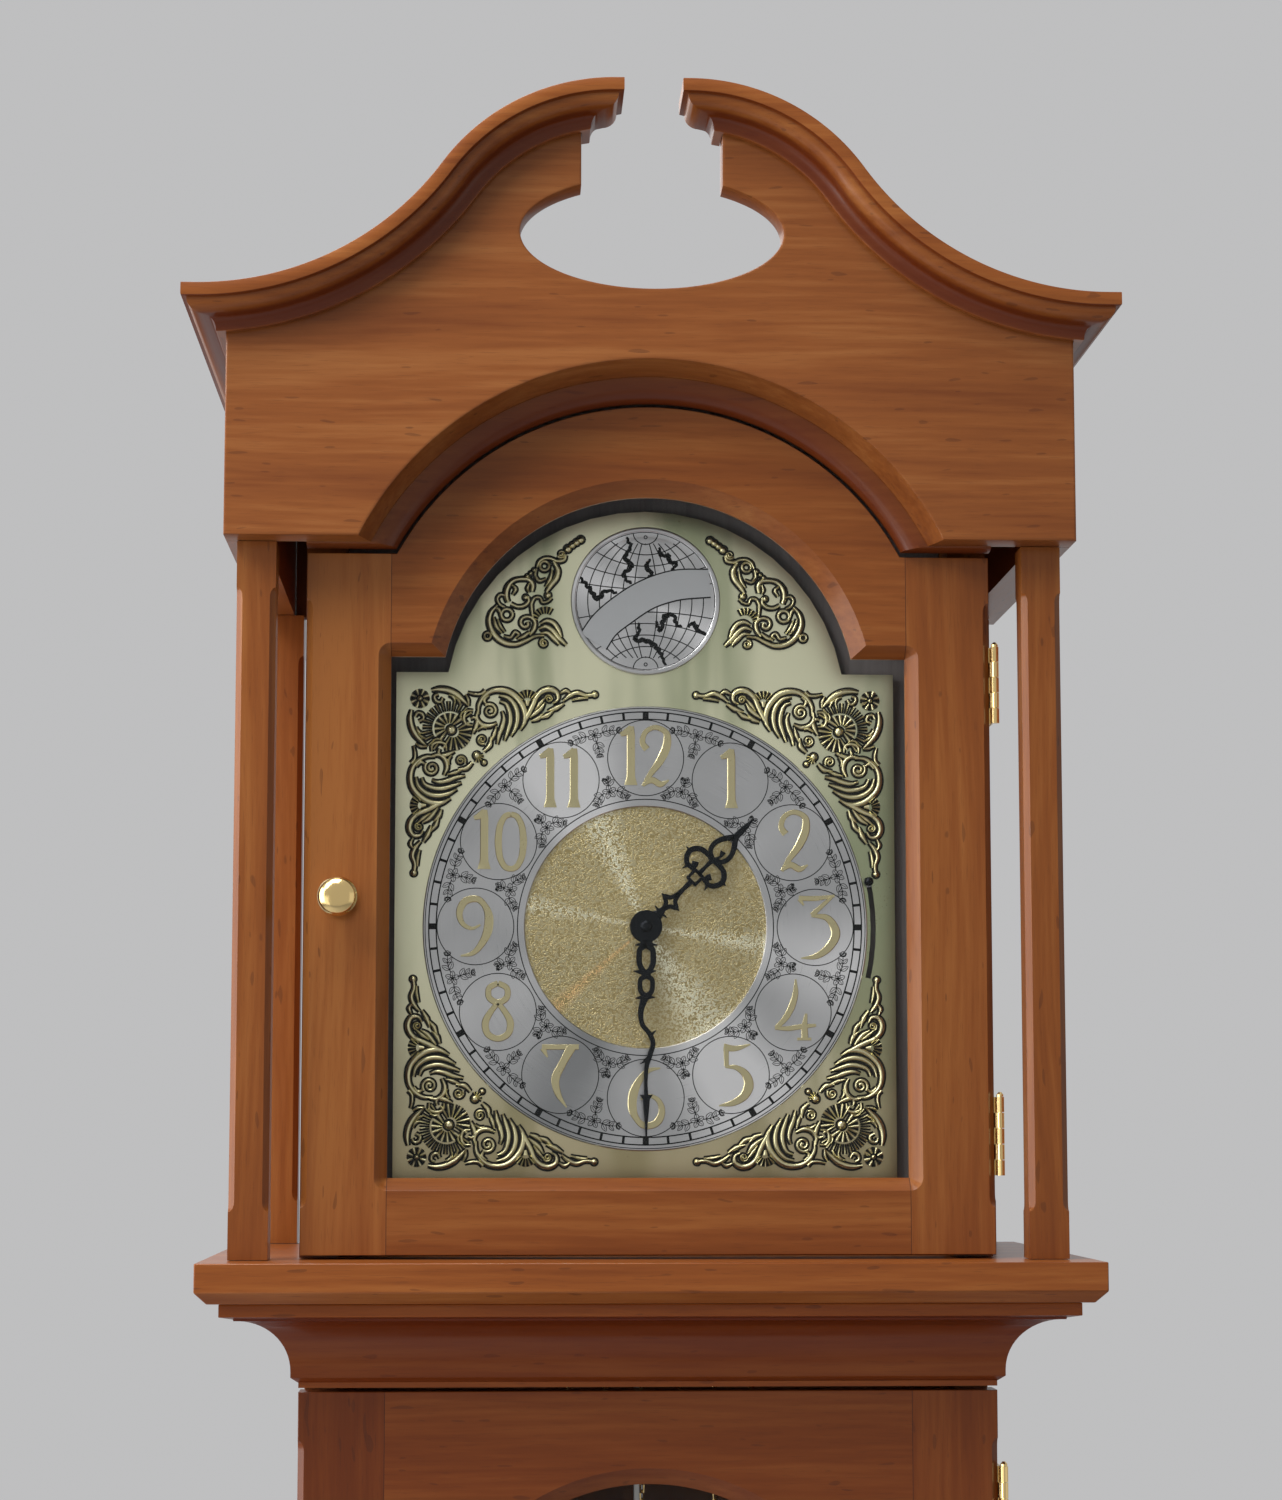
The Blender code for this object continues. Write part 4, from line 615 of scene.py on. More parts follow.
class ClockColours(bpy.types.PropertyGroup):
    cherry: FloatVectorProperty(name="Cherry", description="Main tone of the wood", subtype="COLOR",
                                default=(0.245, 0.071, 0.013))
    cherry_dark: FloatVectorProperty(name="Dark figure", description="Dark streaks of the wood",
                                     subtype="COLOR", default=(0.175, 0.045, 0.008))
    cherry_pale: FloatVectorProperty(name="Pale figure", description="Pale streaks of the wood",
                                     subtype="COLOR", default=(0.33, 0.115, 0.026))
    dial_brass: FloatVectorProperty(name="Dial brass", description="Polished dial plate", subtype="COLOR",
                                    default=(0.84, 0.85, 0.5))
    gilt: FloatVectorProperty(name="Gilt", description="Matted centre of the dial", subtype="COLOR",
                              default=(0.5, 0.4, 0.18))
    silver: FloatVectorProperty(name="Silver", description="Silvered chapter ring", subtype="COLOR",
                                default=(0.86, 0.88, 0.89))
    ornament: FloatVectorProperty(name="Ornament", description="Crowns of the cast spandrels",
                                  subtype="COLOR", default=(0.86, 0.8, 0.47))
    numeral: FloatVectorProperty(name="Numerals", description="Raised figures of the dial", subtype="COLOR",
                                 default=(0.66, 0.59, 0.34))
    brass: FloatVectorProperty(name="Brass", description="Turned and polished brass", subtype="COLOR",
                               default=(0.83, 0.61, 0.27))
    background: FloatVectorProperty(name="Background", description="Pale backdrop", subtype="COLOR",
                                    default=(0.52, 0.52, 0.525))


# Woodwork. Millimetres, as named in the drawing of the case. NECK_BEFORE is a depth just
# before the face of the neck mouldings.
CASE_BACK, HOOD_INNER, ROOF_UNDER = 239.0, 186.0, 449.0
BOARD_FRONT, BOARD_BACK, BOARD_HALF, BOARD_BOTTOM = -30.0, -11.0, 205.7, 345.0
ARCH_CENTRE, BOARD_ARCH, BOARD_ARCH_BACK, TRIM_RADIUS = 275.7, 157.1, 152.5, 141.0
NECK_CROWN, NECK_LEVEL, NECK_CROWN_X, NECK_LEVEL_X, NECK_RADIUS = 566.8, 463.3, 18.0, 219.0, 103.0
NECK_BEFORE, GAP_HALF = -51.0, 34.5
ELLIPSE_CENTRE, ELLIPSE_WIDE, ELLIPSE_HIGH = 495.6, 64.2, 27.9
TRUNK_HALF, TRUNK_RAIL, TRUNK_RAIL_BACK, COVE_TOP = 165.2, 4.0, 20.9, -19.3
BASE_HIGH, BASE_STEP, BOARD, SKIRTING, SKIRTING_OUT, SKIRTING_TOP = 440.0, 32.8, 19.0, 95.0, 12.0, 7.0
DOOR_HALF, DOOR_THICK, DOOR_CHAMFER, DOOR_LOW, DOOR_SHOULDER, DOOR_ARCH = 167.0, 19.0, 3.0, 2.0, 341.4, 139.8
WINDOW_HALF, WINDOW_LOW, WINDOW_ARCH, WINDOW_RADIUS = 126.0, 38.5, 269.4, 102.0
SHOULDER, SHOULDER_RISE, GLAZING_SIDE, GLAZING_ARCH, REBATE = 291.5, 22.1, 6.0, 8.0, 5.0
TRUNK_LOW, TRUNK_TOP, TRUNK_FACE, TRUNK_HEAD_RAIL, TRUNK_FOOT_RAIL = -778.9, -62.3, 2.0, 36.2, 56.0
KNOB_X, HOOD_KNOB = -150.0, 172.5
DIAL_CENTRE = 161.6


def neck_height(x, drop):
    """Height of the swan neck at x, or of its parallel curve lower by drop: a swelling arc
    about a low centre, then a hollow arc about a high one, meeting on their common line."""
    upper = NECK_CROWN - NECK_RADIUS
    span, fall = NECK_LEVEL_X - NECK_CROWN_X, NECK_LEVEL - upper
    lower = (span ** 2 + fall ** 2 - NECK_RADIUS ** 2) / (2 * (NECK_RADIUS - fall))
    x = abs(np.asarray(x, float))
    meet = NECK_CROWN_X + span * (NECK_RADIUS - drop) / (NECK_RADIUS + lower)
    swell = upper + np.sqrt(np.maximum((NECK_RADIUS - drop) ** 2 - (x - NECK_CROWN_X) ** 2, 0.0))
    hollow = NECK_LEVEL + lower - np.sqrt(np.maximum((lower + drop) ** 2 - (NECK_LEVEL_X - x) ** 2, 0.0))
    return np.select([x <= NECK_CROWN_X, x <= meet, x < NECK_LEVEL_X],
                     [NECK_CROWN - drop, swell, hollow], NECK_LEVEL - drop)


def neck_section():
    """Cornice section as (projection, drop): eased fillet, quirk, ovolo, cove and bead."""
    turn = np.linspace(0.0, math.pi / 2, 9)
    ovolo = np.column_stack([11.0 + 6.7 * np.cos(turn), 6.9 + 6.5 * np.sin(turn)])
    cove = np.column_stack([8.5 - 4.0 * np.sin(turn[:-1]), 19.6 - 5.8 * np.cos(turn[:-1])])
    fillet = [(0.3, 0.0), (19.8, 0.0), (20.15, 0.15), (20.3, 0.5), (20.3, 5.9), (20.15, 6.25), (19.8, 6.4)]
    return np.concatenate([fillet, ovolo, cove, [(4.5, 20.0), (4.2, 20.4), (0.3, 20.4)]])


# How much painted shade each point of the neck section takes: most in the quirk and the cove.
NECK_SHADE_MARK = np.concatenate([np.zeros(5), [0.6, 0.9, 0.5], np.linspace(0.0, 0.9, 8) ** 2, np.ones(8),
                              [0.8, 0.3, 0.3]])


def board_outline(radius):
    """The scroll board from its right arm round the gap, the ellipse and the left arm, and
    back along the arched lower edge."""
    x = np.linspace(BOARD_HALF, GAP_HALF, 90)
    right = np.column_stack([x, neck_height(x, 0.0)])
    half_gap = math.acos(GAP_HALF / ELLIPSE_WIDE)
    turn = np.linspace(half_gap, -math.pi - half_gap, 110)
    ellipse = np.column_stack([ELLIPSE_WIDE * np.cos(turn), ELLIPSE_CENTRE + ELLIPSE_HIGH * np.sin(turn)])
    left = np.column_stack([-x[::-1], neck_height(x[::-1], 0.0)])
    foot = math.asin((BOARD_BOTTOM - ARCH_CENTRE) / radius)
    arch = circle((0.0, ARCH_CENTRE), radius, math.pi - foot, foot, 110)
    return np.concatenate([right, ellipse, left, [(-BOARD_HALF, BOARD_BOTTOM)], arch,
                           [(BOARD_HALF, BOARD_BOTTOM)]])


def cove_section():
    """Cove section as (projection, drop): eased fillet, quirk, quarter hollow and foot."""
    turn = np.linspace(0.0, math.pi / 2, 17)
    hollow = np.column_stack([30.7 - 25.3 * np.sin(turn), 8.0 + 25.3 * (1 - np.cos(turn))])
    fillet = [(0.3, 0.0), (36.8, 0.0), (37.1, 0.1), (37.2, 0.4), (37.2, 5.6), (37.1, 5.9), (36.8, 6.0)]
    return np.concatenate([fillet, [(30.9, 7.2)], hollow,
                           [(5.4, 36.0), (2.2, 38.3), (1.8, 38.5), (1.8, 41.0), (0.3, 41.0)]])


# How much painted shade each point of the cove section takes: most in its hollow.
COVE_SHADE_MARK = np.concatenate([np.zeros(6), [0.9, 1.0], np.linspace(1.0, 0.45, 17), [0.6, 0.9, 0.3, 0.3, 0.3]])


def mitred(section, level, way, hollow=None):
    """Carry a (projection, height) section down one side of the trunk, across its front and
    down the other side. With way -1 its heights are drops below the level."""
    out, height = np.asarray(section, float).T
    ends = np.full(len(out), CASE_BACK)
    rings = []
    for side, y in ((-1, ends), (-1, TRUNK_RAIL - out), (1, TRUNK_RAIL - out), (1, ends)):
        rings.append(np.column_stack([side * (TRUNK_HALF + out), y, level + way * height]))
    return Shape().loft(rings, across=hollow)


class CLOCK_OT_pediment(bpy.types.Operator):
    """Swan necks, scroll board and arch trim."""
    bl_idname = "clock.pediment"
    bl_label = "Pediment"

    def execute(self, context):
        out, drop = neck_section().T
        in_gap = lambda x, y, z: (((GAP_HALF * MM - abs(x)) > (back(BOARD_FRONT) - y))
                                  * (y > back(NECK_BEFORE)))
        # painted light: the necks' wood a little brighter, and painted shade in their coves
        finish = cherry("cherry_neck", "x", ((beside_mitre(BOARD_HALF, BOARD_FRONT), "y"), (in_gap, "y")),
                        painted_light=1.08, hollow=True)
        shares = np.linspace(0.0, 1.0, context.scene.clock_sizes.neck_steps)
        start, y = GAP_HALF - out, BOARD_FRONT - out
        for name, side in (("left", -1), ("right", 1)):
            rings = []
            for share in np.concatenate([[0.0], shares, [1.0]]):
                x = start + (BOARD_HALF + out - start) * share
                rings.append(np.column_stack([side * x, y, neck_height(x, drop)]))
            rings[0][:, 1] = BOARD_BACK
            rings[-1][:, 1] = CASE_BACK
            piece(name + "_neck_moulding", Shape().loft(rings, across=NECK_SHADE_MARK), finish,
                  stands_for=(name + "_swan_neck",), smooth=40.0)

        face, rear = board_outline(BOARD_ARCH), board_outline(BOARD_ARCH_BACK)
        board = layered(((face, BOARD_FRONT, 1.5), (face, BOARD_FRONT, 0.6), (face, BOARD_FRONT + 0.2, 0.2),
                         (face, BOARD_FRONT + 0.6, 0.0), (rear, BOARD_BACK - 0.4, 0.0),
                         (rear, BOARD_BACK, 0.4), (rear, BOARD_BACK, 1.3)))
        # painted light: the scroll board's copy of the wood lighter and paler
        piece("scroll_board_sawn", board, cherry("cherry_scroll_board", "x", painted_light=(1.02, 1.08, 1.3)),
              stands_for=("scroll_board",))
        self.trim()
        return {"FINISHED"}

    def trim(self):
        """The rounded trim inside the arch: its section runs level to each foot of the arch,
        then round it, every point of the section keeping its own radius."""
        front = BOARD_BACK + 0.3
        rear = front + 10.0
        low, high, outer = BOARD_BOTTOM - 1.6, BOARD_BOTTOM + 9.0, BOARD_ARCH_BACK + 9.0
        turn = np.linspace(math.radians(10), math.pi / 2, 8)
        bulge = np.column_stack([TRIM_RADIUS + 11.5 * (1 - np.cos(turn)),
                                 rear - 10.0 * (0.3 + 0.7 * np.sin(turn)), low + 1.6 * (1 - np.cos(turn))])
        radius, y, level = np.concatenate([
            [(TRIM_RADIUS, rear, low), (TRIM_RADIUS, rear - 3.0, low)], bulge,
            [(outer, front, high), (outer, rear, high)]]).T
        foot = np.arcsin((level - ARCH_CENTRE) / radius)
        rings = [np.column_stack([np.full(len(y), -DOOR_HALF), y, level])]
        for share in np.linspace(0.0, 1.0, 120):
            angle = math.pi - foot - (math.pi - 2 * foot) * share
            rings.append(np.column_stack([radius * np.cos(angle), y, ARCH_CENTRE + radius * np.sin(angle)]))
        rings.append(rings[0] * (-1.0, 1.0, 1.0))
        # painted shade: how much of it each point of the trim's section takes
        hollow = np.concatenate([np.ones(2), np.linspace(1.0, 0.45, 8), np.ones(2)])
        piece("arch_trim", Shape().loft(rings, across=hollow), cherry("cherry_trim", "x", hollow=True),
              stands_for=("arch_moulding",), smooth=40.0)


class CLOCK_OT_hood_boards(bpy.types.Operator):
    """Columns, hood sides, friezes, roof and shelf."""
    bl_idname = "clock.hood_boards"
    bl_label = "Hood boards"

    def execute(self, context):
        width = context.scene.clock_sizes.board_ease / MM
        upright = cherry("cherry_column", "z")
        for place in ("front_left", "front_right", "back_left", "back_right"):
            eased(place + "_column", upright, 0.35)
        inner = HOOD_INNER * MM
        frieze = lambda x, y, z: (abs(x) > inner) * (z > up(BOARD_BOTTOM - 1))
        roof = lambda x, y, z: (abs(x) < inner) * (z > up(ROOF_UNDER))
        eased("hood_case", cherry("cherry_hood_sides", "z", ((frieze, "y"), (roof, "x"))), width)
        # painted light: the shelf's copy of the wood lighter
        eased("hood_shelf", cherry("cherry_shelf", "x", painted_light=(1.2, 1.15, 1.1)), width)
        return {"FINISHED"}


class CLOCK_OT_trunk_and_base(bpy.types.Operator):
    """Coves, trunk, base box and back board."""
    bl_idname = "clock.trunk_and_base"
    bl_label = "Trunk and base"

    def execute(self, context):
        side = beside_mitre(TRUNK_HALF, TRUNK_RAIL)
        # painted light and shade: the cove's wood redder, and shade painted in its hollow
        piece("hood_cove_moulding", mitred(cove_section(), COVE_TOP, -1, COVE_SHADE_MARK),
              cherry("cherry_cove", "x", ((side, "y"),), painted_light=(1.2, 1.0, 0.8), hollow=True),
              stands_for=("hood_cove",), smooth=40.0)
        rails = lambda x, y, z: (y < back(TRUNK_RAIL_BACK)) * 1.0
        eased("trunk_case", cherry("cherry_trunk", "z", ((rails, "x"),)))
        eased("back_board", plain_wood("stained_back", "inside_wood", (0.15, 0.06, 0.024), 0.35))

        slope = SKIRTING_OUT - SKIRTING_TOP
        foot, inside = BASE_STEP + SKIRTING_OUT, BASE_STEP - BOARD
        turn = np.linspace(0.0, math.pi / 2, 9)
        round_top = np.column_stack([foot - slope * (1 - np.cos(turn)),
                                     SKIRTING - slope + slope * np.sin(turn)])
        cove = cove_section()[1:] + (0.0, BASE_HIGH)
        section = np.concatenate([[(inside, 0.0), (foot - 1.0, 0.0), (foot, 1.0)], round_top,
                                  [(BASE_STEP, SKIRTING), (BASE_STEP, BASE_HIGH)], cove,
                                  [(0.3, BASE_HIGH), (inside, BASE_HIGH)]])
        panel = lambda x, y, z: (z > up(FLOOR + SKIRTING)) * (z < up(FLOOR + BASE_HIGH))
        piece("base_carcass", mitred(section, FLOOR, 1),
              cherry("cherry_base", "x", ((side, "y"), (panel, "z"))), stands_for=("base_box",), smooth=40.0)
        return {"FINISHED"}


# Points round each corner of a door's outlines and along its head.
CORNER_POINTS, ARCH_POINTS = 8, 90
# The stop at each end of a stile's chamfer: plain length, curved length, and the curve's shares.
STOP_PLAIN, STOP_LONG = 22.5, 5.0
STOP = np.array([(0.0, 0.0), (0.12, 0.47), (0.35, 0.76), (0.65, 0.94), (1.0, 1.0)])


def stile_stations(low, high):
    """Heights up the outer edge of a stile, and the share of its chamfer at each: none at
    either end, then a curved stop, then the full width between."""
    start = low + STOP_PLAIN + STOP_LONG * STOP[:, 0]
    end = high - STOP_PLAIN - STOP_LONG * STOP[::-1, 0]
    return np.concatenate([start, end]), np.concatenate([STOP[:, 1], STOP[::-1, 1]])


def window_outline(low, centre, stations, grow=0.0, arch_grow=0.0, corner=0.2):
    """The sight line of a door window, anticlockwise from its lower left corner: level foot,
    uprights, level shoulders and an arch, with round lower corners where it grows. The
    uprights carry a point for each station of the stile beside them."""
    half = WINDOW_HALF + grow
    low = low - grow
    shoulder = centre + SHOULDER_RISE + grow
    radius = WINDOW_RADIUS + arch_grow
    spring = math.asin((shoulder - centre) / radius)
    quarter = math.pi / 2
    left, right, foot, head = corner - half, half - corner, low + corner, shoulder - corner
    bend = lambda x, z, start: circle((x, z), corner, start, start + quarter, CORNER_POINTS)
    side = np.interp(stations, stations[[0, -1]], (foot, head))
    side = np.column_stack([np.full(len(side), half), side])
    return np.concatenate([
        bend(left, foot, math.pi), bend(right, foot, -quarter), side, bend(right, head, 0.0),
        circle((0.0, centre), radius, spring, math.pi - spring, ARCH_POINTS),
        bend(left, head, quarter), side[::-1] * (-1, 1)])


def door_outline(low, shoulder, arch, ease=0.0, chamfer=0.0):
    """The outside of a door with as many points as its window, corner against corner. An
    arched door rises between its shoulders; a plain one has arch None."""
    half = DOOR_HALF - ease
    stations, share = stile_stations(low, shoulder)
    side = np.column_stack([DOOR_HALF - np.maximum(ease, chamfer * share), stations])
    low, high = low + ease, shoulder - ease
    foot, sill, head, left = (np.tile(point, (CORNER_POINTS, 1))
                              for point in ((-half, low), (half, low), (half, high), (-half, high)))
    end = WINDOW_HALF + GLAZING_SIDE / 2
    if arch is None:
        x = np.linspace(end, -end, ARCH_POINTS - 2)
        top = np.column_stack([x, np.full(len(x), high)])
    else:
        radius = arch - ease
        spring = math.asin((high - ARCH_CENTRE) / radius)
        top = circle((0.0, ARCH_CENTRE), radius, spring, math.pi - spring, ARCH_POINTS - 2)
    top = np.concatenate([[(end, high)], top, [(-end, high)]])
    return np.concatenate([foot, sill, side, head, top, left, side[::-1] * (-1, 1)])


def door_frame(name, face, low, shoulder, window_low, centre, arch, finish, body):
    """A glazed door frame as one skin: outside, face, glazing chamfer, rebate and back, each
    ring matched point for point with the next. Its outer corners are single points."""
    stations, share = stile_stations(low, shoulder)
    sight = window_outline(window_low, centre, stations)
    wide = window_outline(window_low, centre, stations, GLAZING_SIDE, GLAZING_ARCH, GLAZING_SIDE + 0.2)
    narrow = window_outline(window_low, centre, stations, GLAZING_SIDE - 0.4, GLAZING_ARCH - 0.5,
                            GLAZING_SIDE - 0.2)
    rebate = window_outline(window_low, centre, stations, REBATE, REBATE)
    outside = door_outline(low, shoulder, arch)
    depth = np.full(len(outside), 0.3)
    right = 2 * CORNER_POINTS
    depth[right:right + len(share)] = depth[-len(share):] = np.maximum(0.3, DOOR_CHAMFER * share)
    rings = []
    for outline, y in ((door_outline(low, shoulder, arch, 0.3), DOOR_THICK), (outside, DOOR_THICK - 0.3),
                       (outside, depth), (door_outline(low, shoulder, arch, 0.3, DOOR_CHAMFER), 0.0),
                       (door_outline(low, shoulder, arch, DOOR_CHAMFER + 1.0), 0.0), (wide, 0.0),
                       (narrow, 0.35), (sight, 6.5), (sight, 8.5), (rebate, 8.5), (rebate, DOOR_THICK)):
        rings.append(np.column_stack([outline[:, 0], np.broadcast_to(face + y, len(outline)), outline[:, 1]]))
    made = piece(name + "_joinery", Shape().loft(rings, loop=True), finish, body, (name,), smooth=30.0)
    mended(made.data, 0.000002, outwards=False)


def frame_cherry(name, low, shoulder, painted_light=1.0, pale=0.18):
    """Stiles upright and rails level, with the hair line of each joint between them. The light
    factor paints light and shade on the whole frame; pale is painted light on the left stile,
    painted shade where it is below nought.
    """
    half = WINDOW_HALF * MM
    rail = lambda x, y, z: (abs(x) < half) * 1.0
    joint = lambda x, y, z: (abs(abs(x) - half) < 0.00018) * ((z < up(low)) + (z > up(shoulder)))
    # painted light on the left stile: its tone raised by pale, lowered for painted shade below nought
    return cherry(name, "z", ((rail, "x"),), joint, painted_light, lambda x, y, z: (x < -half) * pale)


def knob(name, height, face, finish, body):
    """A turned knob: rounded head with a ring cut into it, waist, and a rose on the stile."""
    radius, length = 9.6, 22.0
    shares = [(0.0, -1.0), (0.3, -1.0), (0.62, -0.97), (0.88, -0.9), (1.0, -0.79), (1.0, -0.73), (0.93, -0.68),
              (0.86, -0.67), (0.72, -0.56), (0.45, -0.45), (0.4, -0.36), (0.42, -0.26), (0.55, -0.2),
              (0.58, -0.17), (0.8, -0.14), (0.86, -0.09)]
    profile = np.concatenate([np.array(shares) * (radius, length), [(radius * 0.86, -0.3), (0.0, -0.3)]])
    shape = turned(Shape(), rounded(profile), "y", (KNOB_X, face, height), 64)
    piece(name + "_turned", shape, finish, body, (name,), smooth=50.0)


class CLOCK_OT_doors(bpy.types.Operator):
    """Hood door and trunk door with glass, knobs and hinges."""
    bl_idname = "clock.doors"
    bl_label = "Doors"

    def execute(self, context):
        look = context.scene.clock_colours
        # the hood door's frame takes painted light on its left stile
        door_frame("hood_door_frame", 0.0, DOOR_LOW, DOOR_SHOULDER, WINDOW_LOW, WINDOW_ARCH, DOOR_ARCH,
                   frame_cherry("cherry_hood_door", WINDOW_LOW, SHOULDER), "hood_door")
        centre = TRUNK_TOP - TRUNK_HEAD_RAIL - WINDOW_RADIUS - GLAZING_ARCH
        low = TRUNK_LOW + TRUNK_FOOT_RAIL
        # painted shade: the trunk door's wood darker and redder, its left stile darker still
        finish = frame_cherry("cherry_trunk_door", low, centre + SHOULDER_RISE, (0.82, 0.66, 0.58), -0.12)
        door_frame("trunk_door_frame", TRUNK_FACE, TRUNK_LOW, TRUNK_TOP, low, centre, None, finish,
                   "trunk_door")
        brass = metal("brass_fittings", "polished_brass", look.brass, 0.17)
        knob("hood_door_knob", HOOD_KNOB, 0.0, brass, "hood_door")
        knob("trunk_door_knob", (TRUNK_LOW + TRUNK_TOP) / 2, TRUNK_FACE, brass, "trunk_door")
        glass = pane("window_pane", "window_glass")
        for node in ("hood_door_glass", "trunk_door_glass"):
            cover(node, glass)
        for place in ("hood_upper", "hood_lower", "trunk_upper", "trunk_lower"):
            cover(place + "_case_leaf", brass)
            cover(place + "_door_leaf", brass)
        return {"FINISHED"}


def cover(node, finish):
    """Give a solid of the frame its finish, leaving its shape as it is."""
    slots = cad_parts[node].data.materials
    slots.clear()
    slots.append(finish)


# Dial. Numerals and engraving are drawn about their own middle, x to the right and z up.
PLATE_FACE, RING_FACE, RING_BACK = 42.0, 40.2, 41.7
RING_OUTER, RING_INNER, NUMBER_RADIUS, NUMBER_CIRCLE = 110.5, 60.0, 84.4, 19.0
LINE_INNER, LINE_OUTER, TRACK_INNER, TRACK_OUTER = 63.6, 109.3, 103.8, 107.5
SPRAY_INNER, SPRAY_OUTER = 69.6, 99.0
MATTING_INNER, MATTING_OUTER, MATTING_FACE, MATTING_BACK = 5.2, 62.0, 41.75, 41.95
GLOBE_CENTRE, GLOBE_LINE = 325.4, 34.9
DIGITS = [strokes(text) for text in (
    """0,13.6 -2.4,12.9 -4.8,9.4 -6.1,3 -6.1,-3 -4.8,-9.4 -2.4,-12.9 0,-13.6 2.4,-12.9 4.8,-9.4 6.1,-3 6.1,3
    4.8,9.4 2.4,12.9 0,13.6: 2.8 3.6 2.8 3.6 2.8""",
    """1.6,15.8 1.6,6 1.6,-6 1.6,-13.7: 3 4 4 4 4 4 4.2 6.6; -3.6,11.6 -0.8,12.8 1.6,15.6: 2 3.6 2.2""",
    """-3.2,4.3 -5.3,7.3 -3.5,13.3 1,15.3 6.6,12.4 6.9,7.3 3.8,-0.7 -2.5,-9.7 -5.2,-14.2: 3.4 2.6 2.4 2.8 4 4.4
    3.6 2.6 1.6; -5.2,-13.8 -0.7,-11.2 3.8,-13.2 7.8,-11.2: 1.4 3.2 3.2 0.8""",
    """-8.1,14.4 0.5,14.4 9.7,15.6: 2.6 2.4 1.4; -7.8,14.2 -5.7,10.9: 2.4 0.8; 8.2,14.9 -1.7,6: 1.6 2.6;
    -1.9,5.8 6.2,4.5 10.2,-3.5 7.2,-9.4 0.3,-14.4 -7.1,-15.4: 1.4 3.2 4.6 4.2 3 0.6""",
    """1.4,16.4 1.2,9 -1,2 -4.5,-3.8 -8.5,-7.6: 0.8 2.8 3.4 3 2; -9,-7.8 -2,-8 3,-7.2 11.4,-6.4: 1.6 2.4 2.6
    1.4; 6.6,-0.6 5.8,-6 5.8,-12.8: 1.2 3 3.4; 2,-13.2 9,-13.2: 1.4 1.4""",
    """-3.6,13.6 2,13 9.6,15: 3.6 2.6 0.8; -2.4,13.5 -2.2,4.2: 2.6 2.2; -2.8,4 2.5,3.6 7,0.5 8.8,-4.2 7,-9.6
    2,-13.4 -6,-15.2: 1.2 2.6 4.2 5 4 2.8 0.6""",
    """7.2,14.6 1.5,13.4 -3.5,8 -6.5,0 -5.8,-8 -1,-13.5 5,-12.5 8,-6.5 6,-1 1.5,1 -2.5,-0.8: 0.8 2.5 3.5 4.6 4.4
    3 3.4 3.8 3 2 1""",
    """-9.1,13.6 9.1,13.6: 2.6 2.6; -8.6,13 -6.3,8.6: 3 0.8; 5.4,13.4 0.6,4.6 -2.4,-2 -1,-9.5 3.2,-16: 4.6 3.8
    4.2 3.2 0.6""",
    """0,14.2 -4.4,11.6 -4.4,7.2 0,4.6 4.4,7.2 4.4,11.6 0,14.2: 2.8 3.2 2.8; 0,4.4 3.4,0.2 6.2,-5.6 5,-10.8
    0,-13.2 -5,-10.8 -6.2,-5.6 -3.4,0.2 0,4.4: 2.4 3.6 3 3.6 2.4""")]
DIGITS.append([(-knots, widths) for knots, widths in DIGITS[6]])
# The figures of an hour with their places aside, where it isn't one figure in the middle.
HOURS = {1: ((1, -1.0),), 10: ((1, -8.8), (0, 6.0)), 11: ((1, -7.0), (1, 4.8)), 12: ((1, -9.0), (2, 3.8))}


def numeral(shape, digit, x, z):
    """One figure of the dial as raised strokes with bevelled edges."""
    for number, (knots, widths) in enumerate(DIGITS[digit]):
        stroke(shape, drawn(knots, widths) + (x, z, 0.0), RING_FACE + 0.05, RING_FACE - 0.7 - 0.05 * number,
               RAISED)


def leaf(start, end, swell):
    """An engraved leaf: its outline, out along one side and back along the other, and its vein."""
    start, end = np.array(start, float), np.array(end, float)
    beside = np.array([start[1] - end[1], end[0] - start[0]]) * swell
    near, far = start * 0.65 + end * 0.35, start * 0.2 + end * 0.8
    outline = spline([start, near + beside, far + beside * 0.6, end, far - beside * 0.6, near - beside,
                      start], 15)
    return [with_width(outline, 0.34), with_width(np.array([start, near, far]), 0.26)]


def spray(reach, dip, tip):
    """Paths of an engraved flower about its own middle: five petals, a leafy sprig to each
    side that ends reach away and dip higher, and one along the middle line to tip."""
    way = math.copysign(1.0, tip)
    paths = [with_width(circle((0.0, 0.0), 0.45, count=7), 0.9)]
    for petal in range(5):
        turn = way * math.pi / 2 + math.tau * petal / 5
        ray = np.array([math.cos(turn), math.sin(turn)])
        paths += leaf(ray * 0.9, ray * 3.6, 0.42)
    stems = [((0.0, way * 2.6), (0.4, tip * 0.6), (0.0, tip))]
    for side in (-1, 1):
        stems.append(((side * 2.6, 0.0), (side * reach * 0.5, dip * 0.25 + 0.7), (side * reach, dip)))
    for knots in stems:
        stem = spline(knots, 7)
        paths.append(with_width(stem, (0.5, 0.3)))
        for at in (1, 3, 5):
            ahead = stem[at + 1] - stem[at]
            ahead /= np.linalg.norm(ahead)
            beside = np.array([-ahead[1], ahead[0]])
            long = 4.4 - 0.4 * at
            for side in (-1, 1):
                paths += leaf(stem[at], stem[at] + ahead * long * 0.8 + beside * side * long * 0.7, 0.26)
        paths += leaf(stem[5], stem[6] + (stem[6] - stem[5]) * 0.5, 0.5)
    return paths


def dome(x, z):
    """How far the globe's face stands before the plate of the dial at a place on it."""
    share = np.hypot(x, z - GLOBE_CENTRE) / GLOBE_LINE
    return 1.3 + 0.9 * np.sqrt(np.maximum(1.0 - share ** 2, 0.0))


def draped(shape):
    """Lay flat strokes, built about y = 0, over the dome of the globe."""
    for points in shape.points:
        points[:, 1] += PLATE_FACE - dome(points[:, 0], points[:, 2])
    return shape


